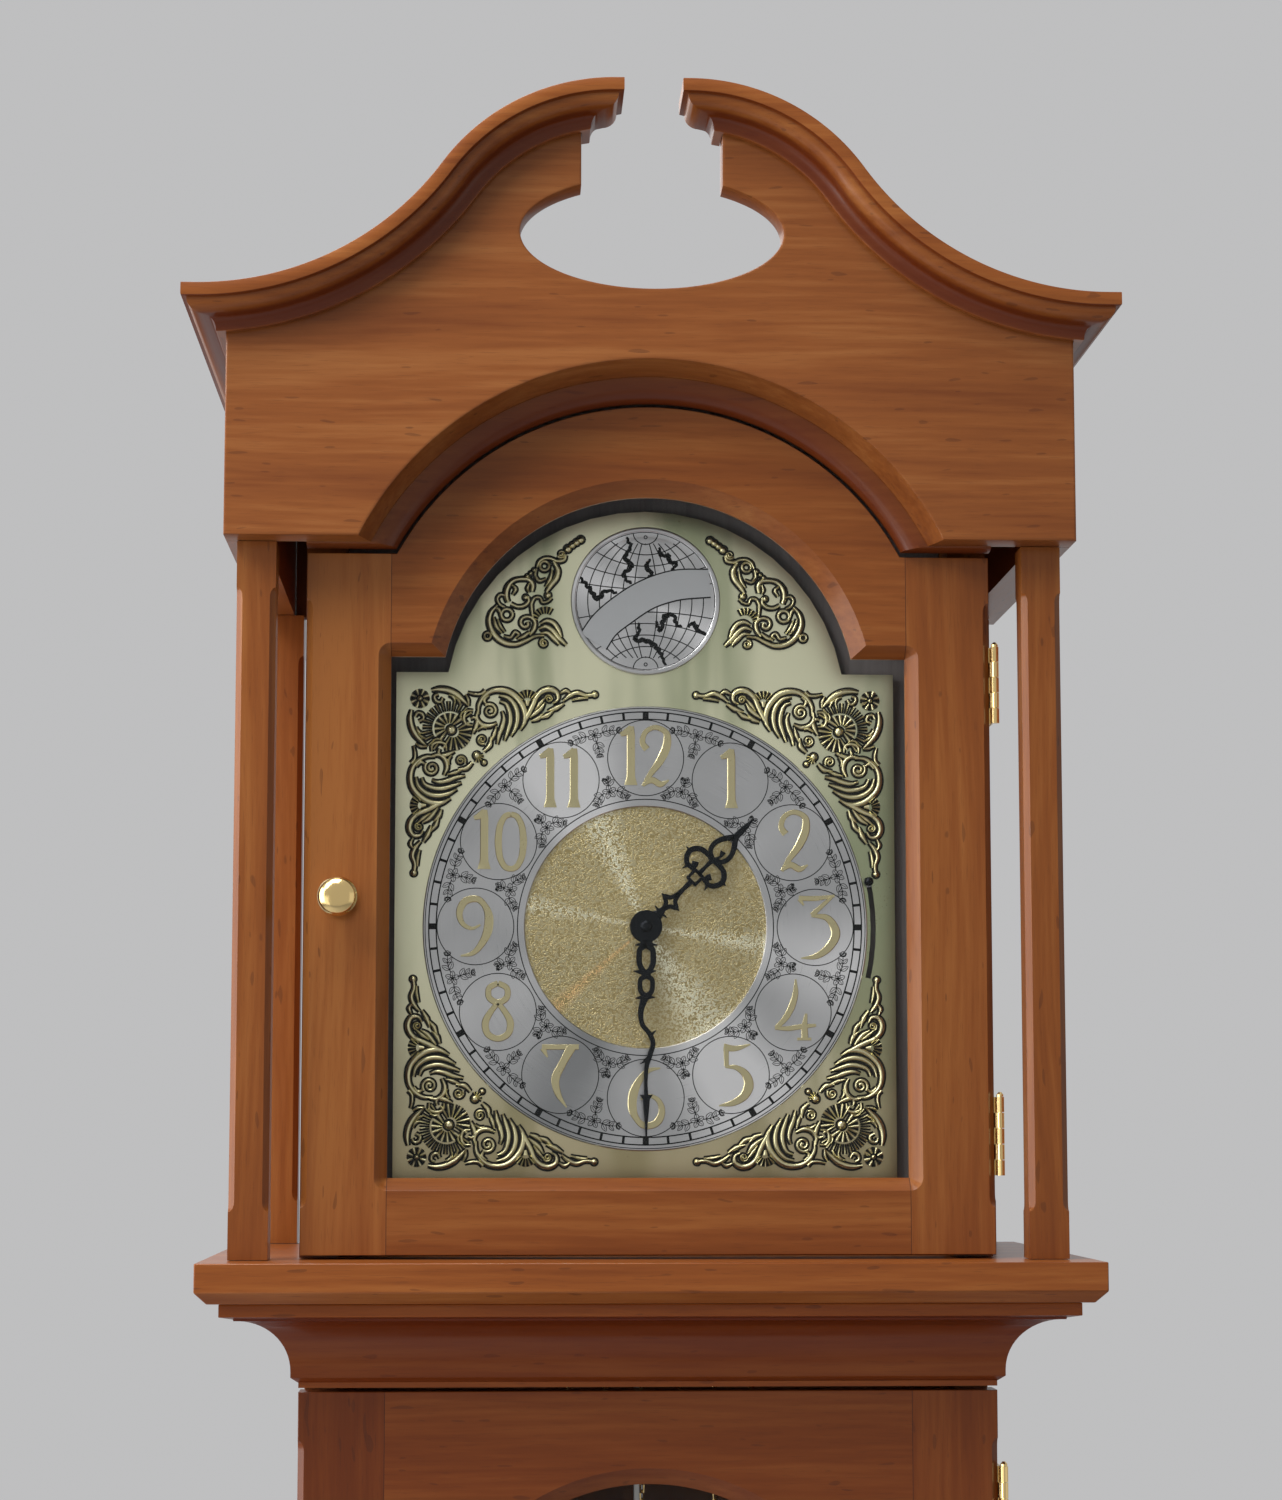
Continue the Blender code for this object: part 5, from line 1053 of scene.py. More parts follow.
def graticule():
    """Parallels and meridians of the globular projection. The parallel of latitude b runs
    through (0, R b / 90) and the rim at b; the meridian of a runs through both poles and
    (R a / 90, 0). Each is the circle through its three points."""
    lines = [np.array([(-GLOBE_LINE, 0.0), (0.0, 0.0), (GLOBE_LINE, 0.0)]),
             circle((0.0, 0.0), GLOBE_LINE, count=90)]
    for degrees in range(15, 90, 15):
        share, turn = degrees / 90, math.radians(degrees)
        crossing = GLOBE_LINE * share
        middle = (GLOBE_LINE ** 2 - crossing ** 2) / (2 * (GLOBE_LINE * math.sin(turn) - crossing))
        x = np.linspace(-1.0, 1.0, 25) * GLOBE_LINE * math.cos(turn)
        z = middle - np.sqrt((middle - crossing) ** 2 - x ** 2)
        if degrees < 75:
            lines += [np.column_stack([x, z]), np.column_stack([x, -z])]
        middle = (crossing ** 2 - GLOBE_LINE ** 2) / (2 * crossing)
        z = np.linspace(-1.0, 1.0, 41) * (GLOBE_LINE - 5.8)
        x = middle + np.sqrt((crossing - middle) ** 2 - z ** 2)
        lines += [np.column_stack([x, z]), np.column_stack([-x, z])]
    lines.append(np.array([(0.0, 5.8 - GLOBE_LINE), (0.0, GLOBE_LINE - 5.8)]))
    for pole in (-1, 1):
        lines.append(circle((0.0, pole * GLOBE_LINE), 6.3, math.pi * (1 + (1 - pole) / 2) + 0.1,
                            math.pi * (2 + (1 - pole) / 2) - 0.1, 20))
        lines.append(circle((0.0, pole * (GLOBE_LINE - 2.6)), 0.8, count=9))
    return lines


BANNER = ((-26.2, -20.8, 15.3), (-21.3, -13.4, 15.1), (-11.0, -4.5, 15.6), (0.5, 2.9, 15.3), (14.0, 7.6, 15.4),
          (32.2, 9.1, 14.3))
COASTS = (
    ((-9.7, 31.8), (-7.6, 27.1), (-10.3, 21.8), (-7.1, 17.6), (-11.3, 13.4), (-7.1, 8.2)),
    ((-32.9, 11.3), (-28.2, 6.1), (-23.9, 0.8), (-20.3, 4.5), (-14.5, 3.9)),
    ((6.6, 26.6), (7.6, 23.4), (11.8, 22.9), (11.8, 19.7), (15.5, 18.7), (13.4, 15.5)),
    ((1.8, 20.8), (0.3, 17.6), (3.4, 13.4), (0.8, 11.3)),
    ((-3.9, -11.8), (-3.4, -16.1), (-5.5, -19.7), (-0.3, -20.3), (3.9, -22.4), (8.2, -27.6), (9.7, -32.4)),
    ((5.0, -10.8), (7.1, -15.0), (10.3, -7.6), (13.9, -7.6), (15.5, -11.8), (18.2, -13.4)),
    ((21.3, -13.4), (23.9, -11.3), (26.6, -15.0), (29.7, -16.6)))


class CLOCK_OT_dial(bpy.types.Operator):
    """Dial plate, chapter ring with its numerals and engraving, gilt centre and globe."""
    bl_idname = "clock.dial"
    bl_label = "Dial"

    def execute(self, context):
        look = context.scene.clock_colours
        line = context.scene.clock_sizes.engraving / MM
        cover("dial_plate", burnished("plate_brass", "dial_brass", look.dial_brass))
        # painted highlights on the chapter ring, each (clock angle, half width, gain); the last is painted
        # shade
        silver = brushed("silvered_face", "silvered_brass", look.silver, DIAL_CENTRE, (
            (-0.5, 0.45, 0.85), (2.6, 0.45, 0.8), (1.75, 0.4, 0.5), (-2.0, 0.3, 0.2), (0.95, 0.25, 0.12),
            (-2.66, 0.42, -0.4)))
        black = enamel("engraving_wax", "silvered_brass", (0.008, 0.008, 0.009), 0.6)
        centre = (0.0, 0.0, DIAL_CENTRE)
        ring = [(RING_INNER, RING_BACK), (RING_INNER, RING_FACE + 0.4), (RING_INNER + 0.4, RING_FACE),
                (RING_OUTER - 0.5, RING_FACE), (RING_OUTER, RING_FACE + 0.5), (RING_OUTER, RING_BACK)]
        piece("chapter_ring_face", turned(Shape(), ring, "y", centre, 200, loop=True), silver,
              stands_for=("chapter_ring",))
        disc = [(MATTING_INNER, MATTING_FACE), (MATTING_OUTER, MATTING_FACE), (MATTING_OUTER, MATTING_BACK),
                (MATTING_INNER, MATTING_BACK)]
        piece("matted_centre", turned(Shape(), disc, "y", centre, 96, loop=True),
              matted("gilt_matting", "dial_brass", look.gilt))
        shape = Shape()
        self.engrave(shape, line)
        piece("ring_engraving", shape, black)
        shape = Shape()
        for hour in range(1, 13):
            turn = math.tau * hour / 12
            x, z = NUMBER_RADIUS * math.sin(turn), DIAL_CENTRE + NUMBER_RADIUS * math.cos(turn)
            for digit, aside in HOURS.get(hour, ((hour, 0.0),)):
                numeral(shape, digit, x + aside, z)
        piece("numerals", shape, metal("numeral_brass", "dial_brass", look.numeral, 0.3), smooth=25.0)
        # painted highlights on the globe, each (clock angle, half width, gain)
        silver = brushed("silvered_globe", "silvered_brass", look.silver, GLOBE_CENTRE, (
            (-1.25, 0.6, 0.5), (2.1, 0.6, 0.55), (-0.5, 0.3, 0.35), (0.6, 0.4, 0.2), (-2.5, 0.4, 0.2)))
        self.globe(silver, black, np.array(look.silver) * 0.72)
        return {"FINISHED"}

    def engrave(self, shape, line):
        """Thin ribbons a hair above the ring: its circles, minutes, number circles and sprays."""
        low, high = RING_FACE - 0.02, RING_FACE - 0.06
        centre = np.array([0.0, DIAL_CENTRE])
        for radius, width in ((LINE_OUTER, 0.4), (TRACK_OUTER, 0.65), (TRACK_INNER, 0.65), (LINE_INNER, 0.5)):
            stroke(shape, with_width(circle(centre, radius, count=181)[:-1], width), low, high, loop=True)
        for minute in range(60):
            wide = 3.0 if minute % 5 == 0 else 1.3
            path = with_width([(0.0, TRACK_INNER), (0.0, TRACK_OUTER)], wide)
            stroke(shape, turned_flat(path, math.tau * minute / 60, centre), low, high)
        sprays = ((spray(13.0, -0.8, -11.0), SPRAY_OUTER), (spray(8.2, -5.0, 6.4), SPRAY_INNER))
        for hour in range(12):
            turn = math.tau * hour / 12
            middle = centre + NUMBER_RADIUS * np.array([math.sin(turn), math.cos(turn)])
            stroke(shape, with_width(circle(middle, NUMBER_CIRCLE, count=73)[:-1], line), low, high, loop=True)
            for paths, radius in sprays:
                for path in paths:
                    path = turned_flat(path + (0.0, radius, 0.0), turn + math.pi / 12, centre)
                    stroke(shape, path, low, high)

    def globe(self, silver, black, plain):
        """The globe of the arch: rim, domed face, engraved lines, coasts and a bare banner."""
        raised = np.array([0.0, GLOBE_CENTRE, 0.0])
        radius = np.linspace(0.0, GLOBE_LINE, 14)
        face = np.column_stack([radius, PLATE_FACE - dome(radius, GLOBE_CENTRE)])
        rim = [(35.3, 40.5), (35.6, 40.1), (36.3, 39.9), (37.1, 40.1), (37.5, 40.6), (37.5, 41.7), (0.0, 41.7)]
        shape = turned(Shape(), np.concatenate([face, rim]), "y", (0.0, 0.0, GLOBE_CENTRE), 96)
        piece("globe_face", shape, silver, stands_for=("globe_medallion",))
        shape = Shape()
        for path in graticule():
            stroke(shape, with_width(path, 0.52) + raised, 0.02, -0.03)
        for knots in COASTS:
            path = drawn(knots, (1.3, 2.5, 1.3), 8)
            path[:, 0] += 0.5 * np.sin(np.arange(len(path)) * 1.3)
            path[:, 1] += 0.45 * np.cos(np.arange(len(path)) * 1.1)
            stroke(shape, path + raised, 0.02, -0.05)
        piece("globe_engraving", draped(shape), black)
        share = np.linspace(1.0, -1.0, 17)
        section = np.concatenate([[(-1.0, 0.0), (1.0, 0.0)], np.column_stack([share, np.ones(17)])])
        path = spline(BANNER, 40) + raised
        piece("globe_banner", draped(stroke(Shape(), path, 0.1, -0.35, section)),
              metal("banner_silver", "silvered_brass", plain, 0.34))
        shape = Shape()
        tangent = np.gradient(path[:, :2], axis=0)
        tangent /= np.linalg.norm(tangent, axis=1)[:, None]
        for side in (-1, 1):
            edge = path[:, :2] + np.column_stack([-tangent[:, 1], tangent[:, 0]]) * side * path[:, 2:] / 2
            stroke(shape, with_width(edge, 0.65), 0.05, -0.42)
        piece("globe_banner_lines", draped(shape), black)


# Cast ornament. The corner's strokes are measured inwards from the corner of the dial, the
# arch's from the middle of the globe. Curls are (x, z, radius, start, width), fans and shells
# (x, z, facing, spread, near, far, count, width), balls (x, z, radius).
CORNER_OUT, CORNER_LOW, CORNER_HIGH, CAST_FACE, GROUND_FACE = 118.4, 42.5, 281.1, 39.8, 41.2
CORNER = strokes("""
11.3,1.6 15,0.9 20,1.6 24.3,3.8 27.5,6.8 30,9.5: 1.2 2.6 3 3 2.2 0.8; 20,3.9 22.5,5.2 23.4,7.9: 0.8 1.8 0.8;
23.2,5 25.1,6.8 26.1,9.5: 0.8 1.6 0.7; 17.3,5.2 15.7,7.5 13.4,6.6 13,4.5 14.9,3.5: 1.2 1.6 1.8 1.6 1.2; 29.4,2.6
32.9,3.4 36.4,3.1 38.3,1.5: 0.8 1.4 1.6 1.8; 30,9.5 29.7,6.1 28.4,3.6: 0.8 1.6 0.8; 34.9,13.6 35,8.9 37.1,5
40.7,2.1 45,1.2 50,2.1 54.6,5.7 57.7,11.1 58,16.8 55.7,21.4: 1 2 2.4 2.6 3 3.2 3.2 3 2.4 0.8; 45,3.9 49.6,5.2
53,8.9 54.4,13.9 53.6,19.6 51.1,24.6: 1 2.2 2.6 2.6 2.2 0.8; 45.4,6.8 48.6,8.2 50.4,12.1 50.9,16.9 49.6,21.8
47.9,26.8: 1 2 2.4 2.4 2 0.8; 46.6,11.8 47.6,15 46.9,19.6 45.3,23.9 44.3,28.6: 0.8 2 2.4 2 0.8; 43.9,19.6
42.9,23.2 41.4,27.1: 0.8 2 0.8; 34.5,11.8 34.1,15.4 36.4,18.5 40.1,19.4 44.3,17.9: 1.2 2 2.4 2.2 1; 39,8.9
37.7,6.2 40,4.1: 1 2 1; 59.3,6.6 59.3,9.1: 3 1.6; 56.6,19.6 59.3,14.3 61.9,9.1 63.9,4.6 67.1,1.6 71.1,0.9
74.3,2.9 74.3,6.2 71.9,7.8: 0.8 2.4 2.8 2.6 2.6 3 2.8 2 1; 63.2,11.4 65.6,7.9 68.4,4.8: 0.8 2 0.8; 60.6,15
63.2,12.9 66,10.5 68,7.4: 0.8 2.2 2.2 0.8; 61.1,16.9 64.7,15.4 67.3,12.9: 0.8 2.4 0.8; 65.4,15.4 69.4,13.8
72.4,11.4: 0.8 2.4 0.8; 69.3,11.8 73.6,10.2 77.7,7.8: 0.8 2.6 1; 75.6,2.8 78.6,1.5 81.1,3.1: 0.8 2 0.8; 77.1,6.6
80,4.2 84.3,2.5 88.6,3.8 93,3.4: 1 2.2 2.2 1.8 1.6; 81.4,6.2 85.7,5.2 89.7,5.1: 0.8 1.6 0.8; 32.3,11.8 29.3,11.9
27.7,15.1 29,18.6 32,19.1: 1 1.6 1.8 1.6 1; 34.6,16.6 33.7,19.9 32.1,23.2: 2.4 2.2 1; 30.9,15.8 32.9,15.2
34.7,16.5: 1 1.6 1.6; 34.3,21.6 36.6,20.1 39,20.5: 0.8 1.6 0.8; 26.9,12.2 26,14.5 26.9,16.9: 0.8 1.4 0.8;
41.3,24.8 40.6,29.1 37.7,32.1: 1 2.4 1.2""")
CORNER_CURLS = ((40.6, 11.8, 3.6, 4.0, 1.7), (36.8, 26.2, 2.4, 1.0, 1.3), (70.0, 5.6, 2.0, 3.6, 1.1))
CORNER_FANS = ((20.4, 20.4, 225, 100, 8.4, 13.4, 15, 1.15), (20.4, 20.4, 225, 98, 2.4, 7.4, 9, 1.9),
               (22.4, 22.4, 45, 76, 2.8, 9.4, 8, 1.6), (5.7, 5.7, 225, 160, 1.9, 4.7, 8, 2.1),
               (59.3, 7.4, 270, 62, 2.4, 6.4, 7, 1.1), (7.4, 59.3, 180, 62, 2.4, 6.4, 7, 1.1),
               (34.6, 34.6, 45, 60, 0.6, 3.0, 5, 1.0))
CORNER_BALLS = ((5.7, 5.7, 1.3), (93.0, 3.3, 1.6), (21.4, 21.4, 2.4), (34.2, 34.2, 2.0), (37.8, 37.8, 1.3),
                (3.3, 93.0, 1.6))
ARCH = strokes("""
-40.1,23.1 -40.8,20.8 -44,19.9 -48,21.3 -50.8,21.3 -53.5,19.5 -54.6,16.7: 1.4 1.8 1.8 1.6 1.6 1.8 1.2;
-46.2,19.7 -44,14.9 -44.9,11.3 -47.6,7.6 -49.9,4: 1.5 2.6 3 2.6 1.4; -46.8,15.6 -48,10.8 -50.3,6.7: 0.8 2 0.8;
-54.9,15.8 -55.3,12.2 -53.5,9.9 -49.9,10.8: 1.2 1.6 1.6 0.8; -57.1,4.5 -56.7,7.6 -58.5,10.4 -62.1,10.8 -66.2,9.9
-69.4,6.3 -69.9,1.7 -69,-1: 1.8 2.6 2.2 1.8 2.2 2.8 2.8 2; -67.6,-1.9 -64.4,-3.3 -60.8,-2.8 -58.7,-0.5 -59,1.7:
1.6 1.6 1.8 1.8 1.6; -67.1,7.6 -65.3,5.8 -66.7,2.6: 0.8 2 0.8; -58.4,8.4 -59.3,6 -58.6,3.8: 0.8 1.8 0.8;
-70.3,2.2 -73,2.6 -74.4,0.8 -73.5,-1.9 -70.5,-3.8: 1.2 1.5 1.5 1.5 1.2; -74.4,-2.8 -77.6,-6.5 -78.5,-10.5
-77.1,-15.5 -74.4,-19.2 -69.9,-21.9 -64.9,-22.4 -59.9,-20.5 -55.3,-18.3 -50.8,-18: 1.2 2.2 2.6 2.8 2.8 2.6 2.2
1.8 1.3 1; -75.8,-3.3 -73.5,-5.1 -72.6,-8.4: 0.9 1.8 1; -76.2,-8.6 -74.9,-13.3 -72.1,-16.9: 0.9 2 0.9;
-74.2,-9.6 -72.9,-12.9 -70.6,-16.3: 0.8 1.6 0.8; -71.2,-18.3 -67.6,-18.9 -65.3,-16.2 -63.5,-17.4 -65.2,-19.2:
0.9 1.5 1.6 1.5 0.9; -64,-19.8 -61.2,-18.5 -58,-16.2: 0.9 2 1.2; -58,-17.8 -55.8,-14.2 -55.5,-11 -57.1,-9
-59.9,-8.5 -62.1,-9.6 -62.6,-11.9 -60.8,-13.7 -59,-12.8 -59.2,-11: 1.2 2 2.2 1.8 1.7 1.7 1.8 1.8 1.8 1.5;
-56.5,-9.2 -57.1,-5.1 -57.1,-1.5 -55.3,1.3 -53,1.3 -51.7,-1 -49,-0.5 -47.1,1.3: 1.4 1.5 1.7 1.5 1.4 1.4 1.3 1;
-53,-12 -49.6,-10.4 -46.4,-11.4 -44,-14.4 -42.2,-18.6: 1 2 2.3 2.3 1; -53.6,-14.6 -49.8,-13.4 -46.8,-15.2
-43.6,-19 -39.8,-22.6: 1 2.2 2.6 2.6 1.2; -52.6,-16.8 -49.4,-16.6 -46.4,-19 -43.2,-22.4: 0.9 2 2.4 1.2""")
ARCH_CURLS = ((-42.4, 23.5, 2.1, 3.6, 1.3), (-51.0, -21.7, 2.1, 1.6, 1.3))
ARCH_RINGS = ((-50.8, 17.4, 2.3, 1.4), (-69.6, -7.4, 2.8, 1.7), (-79.2, -18.3, 1.6, 1.3))
ARCH_SHELL = (-50.2, -10.6, 118, 52, 3.9, 7.4, 7, 1.3)
ARCH_BALLS = ((-32.6, 31.0, 1.9), (-34.7, 29.6, 1.8), (-36.8, 28.1, 1.7), (-39.1, 26.3, 2.0),
              (-56.0, 15.3, 1.1), (-57.7, 13.6, 1.1), (-59.4, 12.1, 1.1), (-60.2, 1.4, 1.5), (-49.0, 2.6, 1.7))


def curl(x, z, radius, start, width):
    """A volute: its radius falls evenly through one and a half turns to a thick eye."""
    turn = np.linspace(0.0, 3 * math.pi, 28)
    reach = radius * (1.0 - 0.8 * turn / turn[-1])
    path = np.column_stack([x + reach * np.cos(start + turn), z + reach * np.sin(start + turn)])
    return with_width(path, (width, width * 0.9, width * 0.8, width * 1.25))


def fan(x, z, facing, spread, near, far, count, width):
    """Ribs of a shell, set evenly about the way it faces, in degrees."""
    ribs = []
    for turn in np.radians(np.linspace(facing - spread, facing + spread, count)):
        ray = np.array([math.cos(turn), math.sin(turn)])
        ribs.append(with_width(np.array([x, z]) + ray * np.linspace(near, far, 6)[:, None],
                               (width * 0.4, width * 0.8, width)))
    return ribs


class CLOCK_OT_spandrels(bpy.types.Operator):
    """Cast corner pieces of the square and the arch: scrolls, leaves and plain shells."""
    bl_idname = "clock.spandrels"
    bl_label = "Spandrels"

    def execute(self, context):
        gilt = relief_metal("cast_gilt", "antique_brass", context.scene.clock_colours.ornament,
                            (0.025, 0.02, 0.014))
        black = enamel("spandrel_ground", "antique_brass", (0.014, 0.012, 0.01), 0.5)
        paths = [drawn(knots, widths, 5) for knots, widths in CORNER]
        paths += [curl(*each) for each in CORNER_CURLS]
        paths += [path[:, (1, 0, 2)] for path in paths]
        paths += [rib for each in CORNER_FANS for rib in fan(*each)]
        for name, side in (("left", -1), ("right", 1)):
            for place, way, corner in (("lower", -1, CORNER_LOW), ("upper", 1, CORNER_HIGH)):
                self.cast(place + "_" + name, paths, CORNER_BALLS, (-side, -way, 1.0),
                          (side * CORNER_OUT, corner, 0.0), gilt, black)
        paths = [drawn(knots, widths, 5) for knots, widths in ARCH]
        paths += [curl(*each) for each in ARCH_CURLS] + fan(*ARCH_SHELL)
        for x, z, radius, width in ARCH_RINGS:
            paths.append(with_width(circle((x, z), radius, 0.3, math.tau + 0.3, 25), width))
        for name, side in (("left", 1), ("right", -1)):
            self.cast("arch_" + name, paths, ARCH_BALLS, (side, 1.0, 1.0), (0.0, GLOBE_CENTRE, 0.0),
                      gilt, black)
        return {"FINISHED"}

    def cast(self, name, paths, balls, flip, move, finish, black):
        """One casting, flipped and moved to its corner: crowned strokes on a black ground, and
        bosses turned to half a ball."""
        shape, ground = Shape(), Shape()
        for number, path in enumerate(paths):
            path = path * flip + move
            stroke(shape, path * (1.0, 1.0, 0.9), RING_BACK, CAST_FACE - 0.07 * (number % 4), CROWNED)
            stroke(ground, path + (0.0, 0.0, 1.5), RING_BACK, GROUND_FACE - 0.03 * (number % 5))
        turn = np.linspace(0.0, math.pi / 2, 5)
        for x, z, radius in np.array(balls) * flip + move:
            ball = np.column_stack([radius * np.sin(turn), RING_BACK - 2.1 * np.cos(turn)])
            ball = np.concatenate([ball, [(radius, RING_BACK), (0.0, RING_BACK)]])
            low, wide = GROUND_FACE + 0.03, radius + 0.75
            under = [(0.0, low), (wide, low), (wide, RING_BACK), (0.0, RING_BACK)]
            turned(shape, ball, "y", (x, 0.0, z), 14)
            turned(ground, under, "y", (x, 0.0, z), 14)
        piece(name + "_ground", ground, black)
        piece(name + "_casting", shape, finish, stands_for=(name + "_spandrel",), smooth=50.0)


# Hands, drawn upright about their arbor as (aside, along).
HOUR_HAND, MINUTE_HAND, HAND_THICK = 36.7, 33.7, 1.1
LEVER_TURN, LEVER_REACH, LEVER_BALL, LEVER_BACK, LEVER_FACE = 11.6, 115.8, 113.6, 44.5, 43.5
BLADE = np.array([(-1, 0), (1, 0), (1, 0.7), (0.75, 1), (-0.75, 1), (-1, 0.7)], float)
HOUR = strokes("""
0,7 0,12.6: 6 2.6; -4.3,10.5 0,10.1 4.3,10.5: 0.4 2.2 0.4; 0,12.2 -1.5,15.6 -4,17.2 -1.5,19 0,22.6 1.5,19 4,17.2
1.5,15.6 0,12.2: 2.2 2.2; -6.2,17.2 -3.6,17.2: 0.4 2.4; 6.2,17.2 3.6,17.2: 0.4 2.4; 0,21.6 0,26.5 0,31.6: 2.6
2.3 2.8; -2.6,32 2.6,32: 1.6 1.6; -2.6,37.4 2.6,37.4: 1.6 1.6; -2.6,31.4 -2.6,38: 1.6 1.6; 2.6,31.4 2.6,38: 1.6
1.6; 0,37 0,42 0,47.6: 2.6 1.8 2.8; 0,47 -3.8,49.2 -5.2,53.2 -4,57.6 -1.4,61.4 0,64: 2.6 2.5 2.5 2.6 3 2.4; 0,47
3.8,49.2 5.2,53.2 4,57.6 1.4,61.4 0,64: 2.6 2.5 2.5 2.6 3 2.4; 0.2,48 1.6,50.6 0.9,53.6: 1.2 1.4 3; 0,60.4 0,66
0,76.3: 3.6 3 0.5""")
HOUR_SIDES = strokes("""
0.4,46.6 3.4,47.2 8,46.6 11.2,42.6 9.8,38.4 6.6,36.6 4.4,38.4 5.4,40.4: 2 2.5 2.7 2.8 2.7 2.5 2.5 3.4; 13.9,42.4
10.6,42.4: 0.4 2.4; 7.8,33.2 6.8,37: 0.4 2.2; 2.4,37 5,36.4: 1.6 1.6""")
MINUTE = strokes("""
0,7 0,10.6: 6.4 4; -5.6,9.4 0,8.8 5.6,9.4: 0.5 2.8 0.5; 0,9.4 -3,11.4 -3.5,15 -3.3,18.6 -1.6,22 0,23.6: 3 2.8
2.8 2.8 2.8 3; 0,9.4 3,11.4 3.5,15 3.3,18.6 1.6,22 0,23.6: 3 2.8 2.8 2.8 2.8 3; -5,22 0,22.8 6.4,22.2: 0.4 3.4
0.4; 0,22.6 0,25.2: 5 4.2; 0,24.4 -2.8,26.4 -3.1,29.4 -2.5,32.4 0,34.9: 2.8 2.4 2.4 2.5 3.2; 0,24.4 2.8,26.4
3.1,29.4 2.5,32.4 0,34.9: 2.8 2.4 2.4 2.5 3.2; -4.4,35.2 0,35 5.4,35.6: 0.4 3.4 0.4; 0.4,34.6 1.3,37 2.7,42.6
1.8,48.6 -1.6,53 -3.3,57.6 -2,63 -0.3,68.5 0.2,76 0,84.4: 4 3 2.4 2.3 2.5 2.5 2.4 2 1.7 2.2; -4.8,51.4
-1.6,54.4: 0.4 2.4; 2.9,67.8 -1,65.2: 0.4 2.4; -3,83 0,84.8 3,83: 0.4 2.8 0.4; 0,83 0,86 0,92 0,103.3: 3.8 2.8
1.5 0.9""")


class CLOCK_OT_hands(bpy.types.Operator):
    """Pierced hour hand, serpentine minute hand with its nut, and the chime lever."""
    bl_idname = "clock.hands"
    bl_label = "Hands and lever"

    def execute(self, context):
        blued = metal("blued_hands", "blued_steel", (0.016, 0.017, 0.02), 0.4, 0.2)
        sides = [(knots * (side, 1.0), widths) for side in (-1, 1) for knots, widths in HOUR_SIDES]
        self.hand("hour_hand", HOUR + sides, math.pi / 4, HOUR_HAND, (3.1, 4.6, 59.0), blued)
        self.hand("minute_hand", MINUTE, math.pi, MINUTE_HAND, (0.9, 2.6, 59.6), blued)
        turn = np.linspace(0.0, math.pi / 2, 7)
        cap = np.column_stack([3.0 * np.sin(turn), MINUTE_HAND - 0.5 - 1.5 * np.cos(turn)])
        nut = np.concatenate([cap, [(3.0, MINUTE_HAND), (0.0, MINUTE_HAND)]])
        piece("hand_nut", turned(Shape(), nut, "y", (0.0, 0.0, DIAL_CENTRE), 32), blued, "minute_hand")
        self.lever(blued)
        return {"FINISHED"}

    def hand(self, name, table, turn, front, pipe, finish):
        """A pierced hand of bevelled strokes and its boss, turned to its time, and its pipe,
        given by bore, outer radius and end."""
        shape, rear = Shape(), front + HAND_THICK
        for number, (knots, widths) in enumerate(table):
            step = 0.03 * (number % 3)
            path = turned_flat(drawn(knots, widths), turn, (0.0, DIAL_CENTRE))
            stroke(shape, path, rear - step, front + step, BLADE)
        bore, outer, end = pipe
        profile = [(8.0, front + 0.3), (7.7, front), (bore, front), (bore, end), (outer, end), (outer, rear),
                   (7.7, rear), (8.0, rear - 0.3)]
        turned(shape, profile, "y", (0.0, 0.0, DIAL_CENTRE), 48, loop=True)
        piece(name + "_pierced", shape, finish, name, (name,), smooth=30.0)

    def lever(self, blued):
        """The chime lever: an eye round the arbor, an arm, and a ball on a stem at its end."""
        turn = math.radians(LEVER_TURN)
        ray = np.array([math.cos(turn), math.sin(turn)])
        centre = np.array([0.0, DIAL_CENTRE])
        eye = with_width(circle(centre, 7.5, count=33)[:-1], 5.2)
        arm = with_width(centre + ray * np.linspace(8.5, LEVER_REACH, 9)[:, None], 5.0)
        shape = stroke(Shape(), eye, LEVER_BACK, LEVER_FACE, BLADE, loop=True)
        stroke(shape, arm, LEVER_BACK - 0.05, LEVER_FACE + 0.05, BLADE)
        piece("chime_lever_arm", shape, metal("lever_steel", "steel", (0.42, 0.42, 0.43), 0.32), "chime_lever",
              ("chime_lever",))
        turn = np.linspace(0.0, math.radians(150), 12)
        ball = np.column_stack([2.3 * np.sin(turn), 38.9 - 2.3 * np.cos(turn)])
        x, z = centre + ray * LEVER_BALL
        shape = turned(Shape(), np.concatenate([ball, [(0.9, 41.6), (0.9, 44.0), (0.0, 44.0)]]), "y",
                       (x, 0.0, z), 28)
        piece("chime_lever_ball", shape, blued, "chime_lever")


# Movement, trains and pendulum
WHEEL_DEPTH, WHEEL_HEIGHT, WHEEL_RADIUS, TRAIN_PITCH = 82.8, 113.0, 9.125, 36.5
WEIGHT_TOP, RING_TOP = -300.0, -78.0
ROD_FRONT, ROD_BACK, ROD_FOOT, ROD_HEAD, BOB_CENTRE, BOB_RADIUS = 122.1, 126.1, -584.0, 230.0, -522.0, 55.0


class CLOCK_OT_movement(bpy.types.Operator):
    """Dial board, seat board and the movement's plates with their pillars."""
    bl_idname = "clock.movement"
    bl_label = "Movement"

    def execute(self, context):
        look = context.scene.clock_colours
        eased("dial_board", plain_wood("dial_board_stain", "dial_board_paint", (0.17, 0.155, 0.15), 0.3))
        eased("seat_board", plain_wood("seat_pine", "inside_wood", (0.36, 0.22, 0.11), 0.3))
        eased("movement_frame", metal("movement_plates", "polished_brass", look.brass, 0.28, 0.05, 500.0,
                                      (1.0, 1.0, 0.08), 0.05), 0.25)
        return {"FINISHED"}


